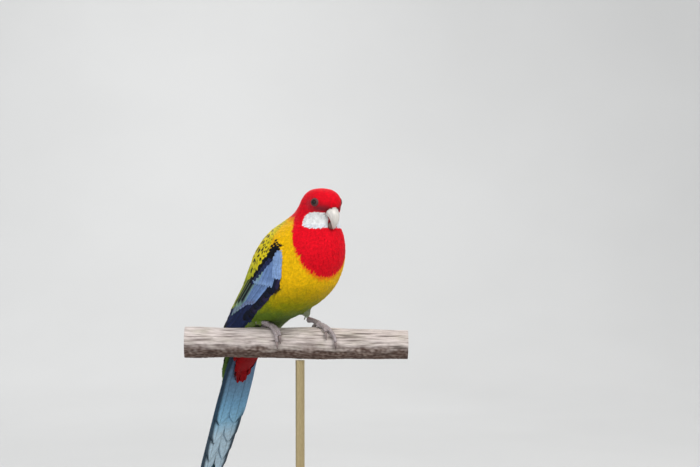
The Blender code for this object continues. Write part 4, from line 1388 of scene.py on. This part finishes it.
def bark(place, angle, radius):
    """How deep the weathered wood is cut at one place round the branch, and its colour there."""
    x, y = radius * math.sin(angle), radius * math.cos(angle)

    def drift(lengthwise, crosswise, *shift):
        """Smooth noise through the wood, drawn out along its grain."""
        return noise.noise(Vector((place * lengthwise, x * crosswise, y * crosswise)) + Vector(shift))

    fine = drift(0.05, 0.55, 0.0, 0.0, 0.0)
    finer = drift(0.12, 1.6, 7.0, 3.0, 1.0)
    patch = drift(0.07, 0.16, 2.0, 9.0, 4.0)
    rough = drift(0.35, 0.5, 5.0, 5.0, 5.0)
    below = blend_step(0.10, -0.62, math.cos(angle) + 0.35 * patch + 0.16 * rough)
    crack = max(0.0, fine * 1.6 - 0.25) + 0.5 * max(0.0, finer - 0.2)
    cut = 0.30 + 0.55 * max(0.0, rough) + 0.3 * abs(finer)
    depth = 0.15 + 0.45 * crack * (1.0 - 0.4 * below) + below * cut
    top = mix((0.63, 0.57, 0.55), (0.40, 0.345, 0.325), min(1.0, max(0.0, 0.35 + fine + 0.6 * finer)))
    top = mix(top, (0.40, 0.39, 0.30), max(0.0, patch) * 0.5)
    # Painted shade: the bark below is laid on in the dark browns of the branch's shaded underside.
    low = mix((0.085, 0.050, 0.040), (0.26, 0.20, 0.17), min(1.0, max(0.0, 0.3 + rough + finer)))
    return depth, mix(mix(top, low, below), (0.05, 0.035, 0.03), min(0.7, crack * 0.8))


def dress_stand():
    """Gives the rod and base, which keep their own solids, their finish."""
    for node, material in (("stand_rod", metal_material()), ("stand_base", wood_material())):
        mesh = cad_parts[node].data
        mesh.materials.clear()
        mesh.materials.append(material)


# ---- floor, light, camera

VIEW_TURN = math.radians(48.0)  # the view looks across the bird from its right front
VIEW_YAW = math.radians(1.512)
VIEW_PITCH = math.radians(-2.357)
VIEW_DISTANCE = 1.667
VIEW_HEIGHT = 0.3429
VIEW_LENS = 97.71


def add_stage():
    """A pale floor that turns up into a plain backdrop behind the bird."""
    nodes = Nodes("paper")
    paper = nodes.ramp(nodes.noise(3.0), (0.3, (0.56, 0.56, 0.555)), (0.7, (0.59, 0.59, 0.585)))
    ahead = np.array([math.sin(VIEW_TURN), math.cos(VIEW_TURN), 0.0])
    right = np.array([ahead[1], -ahead[0], 0.0])
    bend = np.linspace(0.1, math.pi / 2, 16)
    profile = [(-4000.0, 0.0), (900.0, 0.0)]
    profile += [(900.0 + 900.0 * math.sin(t), 900.0 * (1 - math.cos(t))) for t in bend]
    profile.append((1800.0, 4500.0))
    corners = [
        ahead * place + right * reach + (0.0, 0.0, rise)
        for place, rise in profile for reach in (-4500.0, 4500.0)
    ]
    backdrop = placed("backdrop", triangle_mesh("backdrop", np.array(corners), lattice(len(profile), 2)))
    backdrop.data.materials.append(nodes.finish(paper, 0.9))


def add_light(name, place, aim, size, power, colour=(1.0, 1.0, 1.0)):
    """A soft square lamp that shines from one point at another."""
    lamp = bpy.data.lights.new(name, "AREA")
    lamp.size = size
    lamp.energy = power
    lamp.color = colour
    holder = placed(name, lamp)
    holder.location = place
    holder.rotation_euler = (Vector(aim) - Vector(place)).to_track_quat("-Z", "Y").to_euler()


def add_camera():
    """The camera, level with the bird's head and a little above it."""
    camera = bpy.data.cameras.new("camera")
    camera.lens = VIEW_LENS
    camera.sensor_width = 36.0
    camera.clip_end = 50.0
    holder = placed("camera", camera)
    ahead = Vector((math.sin(VIEW_TURN), math.cos(VIEW_TURN), 0.0))
    holder.location = -ahead * VIEW_DISTANCE + Vector((0.0, 0.0, VIEW_HEIGHT))
    turn = VIEW_TURN + VIEW_YAW
    level = math.cos(VIEW_PITCH)
    aim = Vector((math.sin(turn) * level, math.cos(turn) * level, math.sin(VIEW_PITCH)))
    holder.rotation_euler = aim.to_track_quat("-Z", "Y").to_euler()
    bpy.context.scene.camera = holder


def light_scene():
    """Soft daylight from above and in front, over a pale world."""
    scene = bpy.context.scene
    scene.world = bpy.data.worlds.new("studio")
    scene.world.use_nodes = True
    background = scene.world.node_tree.nodes["Background"].inputs
    background["Color"].default_value = (0.93, 0.96, 1.0, 1.0)
    background["Strength"].default_value = 0.55
    scene.view_settings.view_transform = "Standard"
    aim = (0.0, 0.0, 0.24)
    add_light("key", (-0.2, -1.6, 1.9), aim, 1.3, 39.0, (1.0, 0.98, 0.95))
    add_light("fill", (-1.9, 0.1, 0.9), aim, 1.4, 12.0, (0.95, 0.97, 1.0))
    add_light("rim", (0.9, 1.2, 1.4), aim, 1.0, 14.0)


# ---- all together

WINGS = {side: Wing(side) for side in SIDES}


def main():
    """Makes every piece of the model, then the floor, the light and the camera."""
    skin = make_skin()
    flesh = Surface(*solid(*FLESH))
    _, _, faces = flesh.nearest(skin.corners)
    # The skin's tint darkens its colours to about half, as painted shade between the feathers.
    skin_material_painted_shade = toned_material(
        "skin", (900.0, 0.8, 1.1), 0.75, (1400.0, 4.0, 0.15, 0.5),
        tint=(0.55, 0.52, 0.52), Specular_IOR_Level=0.3,
    )
    dress_skin(skin, flesh.owners[faces], skin_material_painted_shade)
    add_plumage(skin, flesh, feather_material("small_feathers", 9.0))
    large = feather_material("large_feathers", 34.0)
    for wing in WINGS.values():
        add_wing(wing, large)
    for side in SIDES:
        for rank in RANKS:
            add_tail_feather(side, rank, large)
    eye = toned_material(
        "eye", (2600.0, 0.6, 1.3), 0.22, Specular_IOR_Level=0.15, Coat_Weight=0.25, Coat_Roughness=0.02,
    )
    lids = toned_material(
        "lid_skin", (1500.0, 0.75, 1.15), 0.55, (3000.0, 3.0, 0.06, 0.5), Specular_IOR_Level=0.35,
    )
    foot = toned_material(
        "foot_skin", (600.0, 0.8, 1.15), 0.5, (2200.0, 3.0, 0.05, 0.4), Specular_IOR_Level=0.4,
    )
    claw = horn_material("claw_horn", (0.34, 0.28, 0.27), (0.14, 0.11, 0.11), 0.3, 0.3)
    add_bill("upper", horn_material("horn", (0.72, 0.69, 0.65), (0.52, 0.50, 0.47), 0.12))
    # The lower bill's horn is dark brown, painted shade of the gape.
    add_bill("lower", horn_material("lower_bill_horn_painted_shade", (0.30, 0.21, 0.18), (0.15, 0.10, 0.085), 0.15))
    add_cere(lids)
    for side in SIDES:
        add_eye(side, eye, lids)
        add_foot(side, foot)
        for number in range(1, 5):
            add_claw(side, number, claw)
    add_perch(bark_material())
    dress_stand()
    add_stage()
    light_scene()
    add_camera()


main()
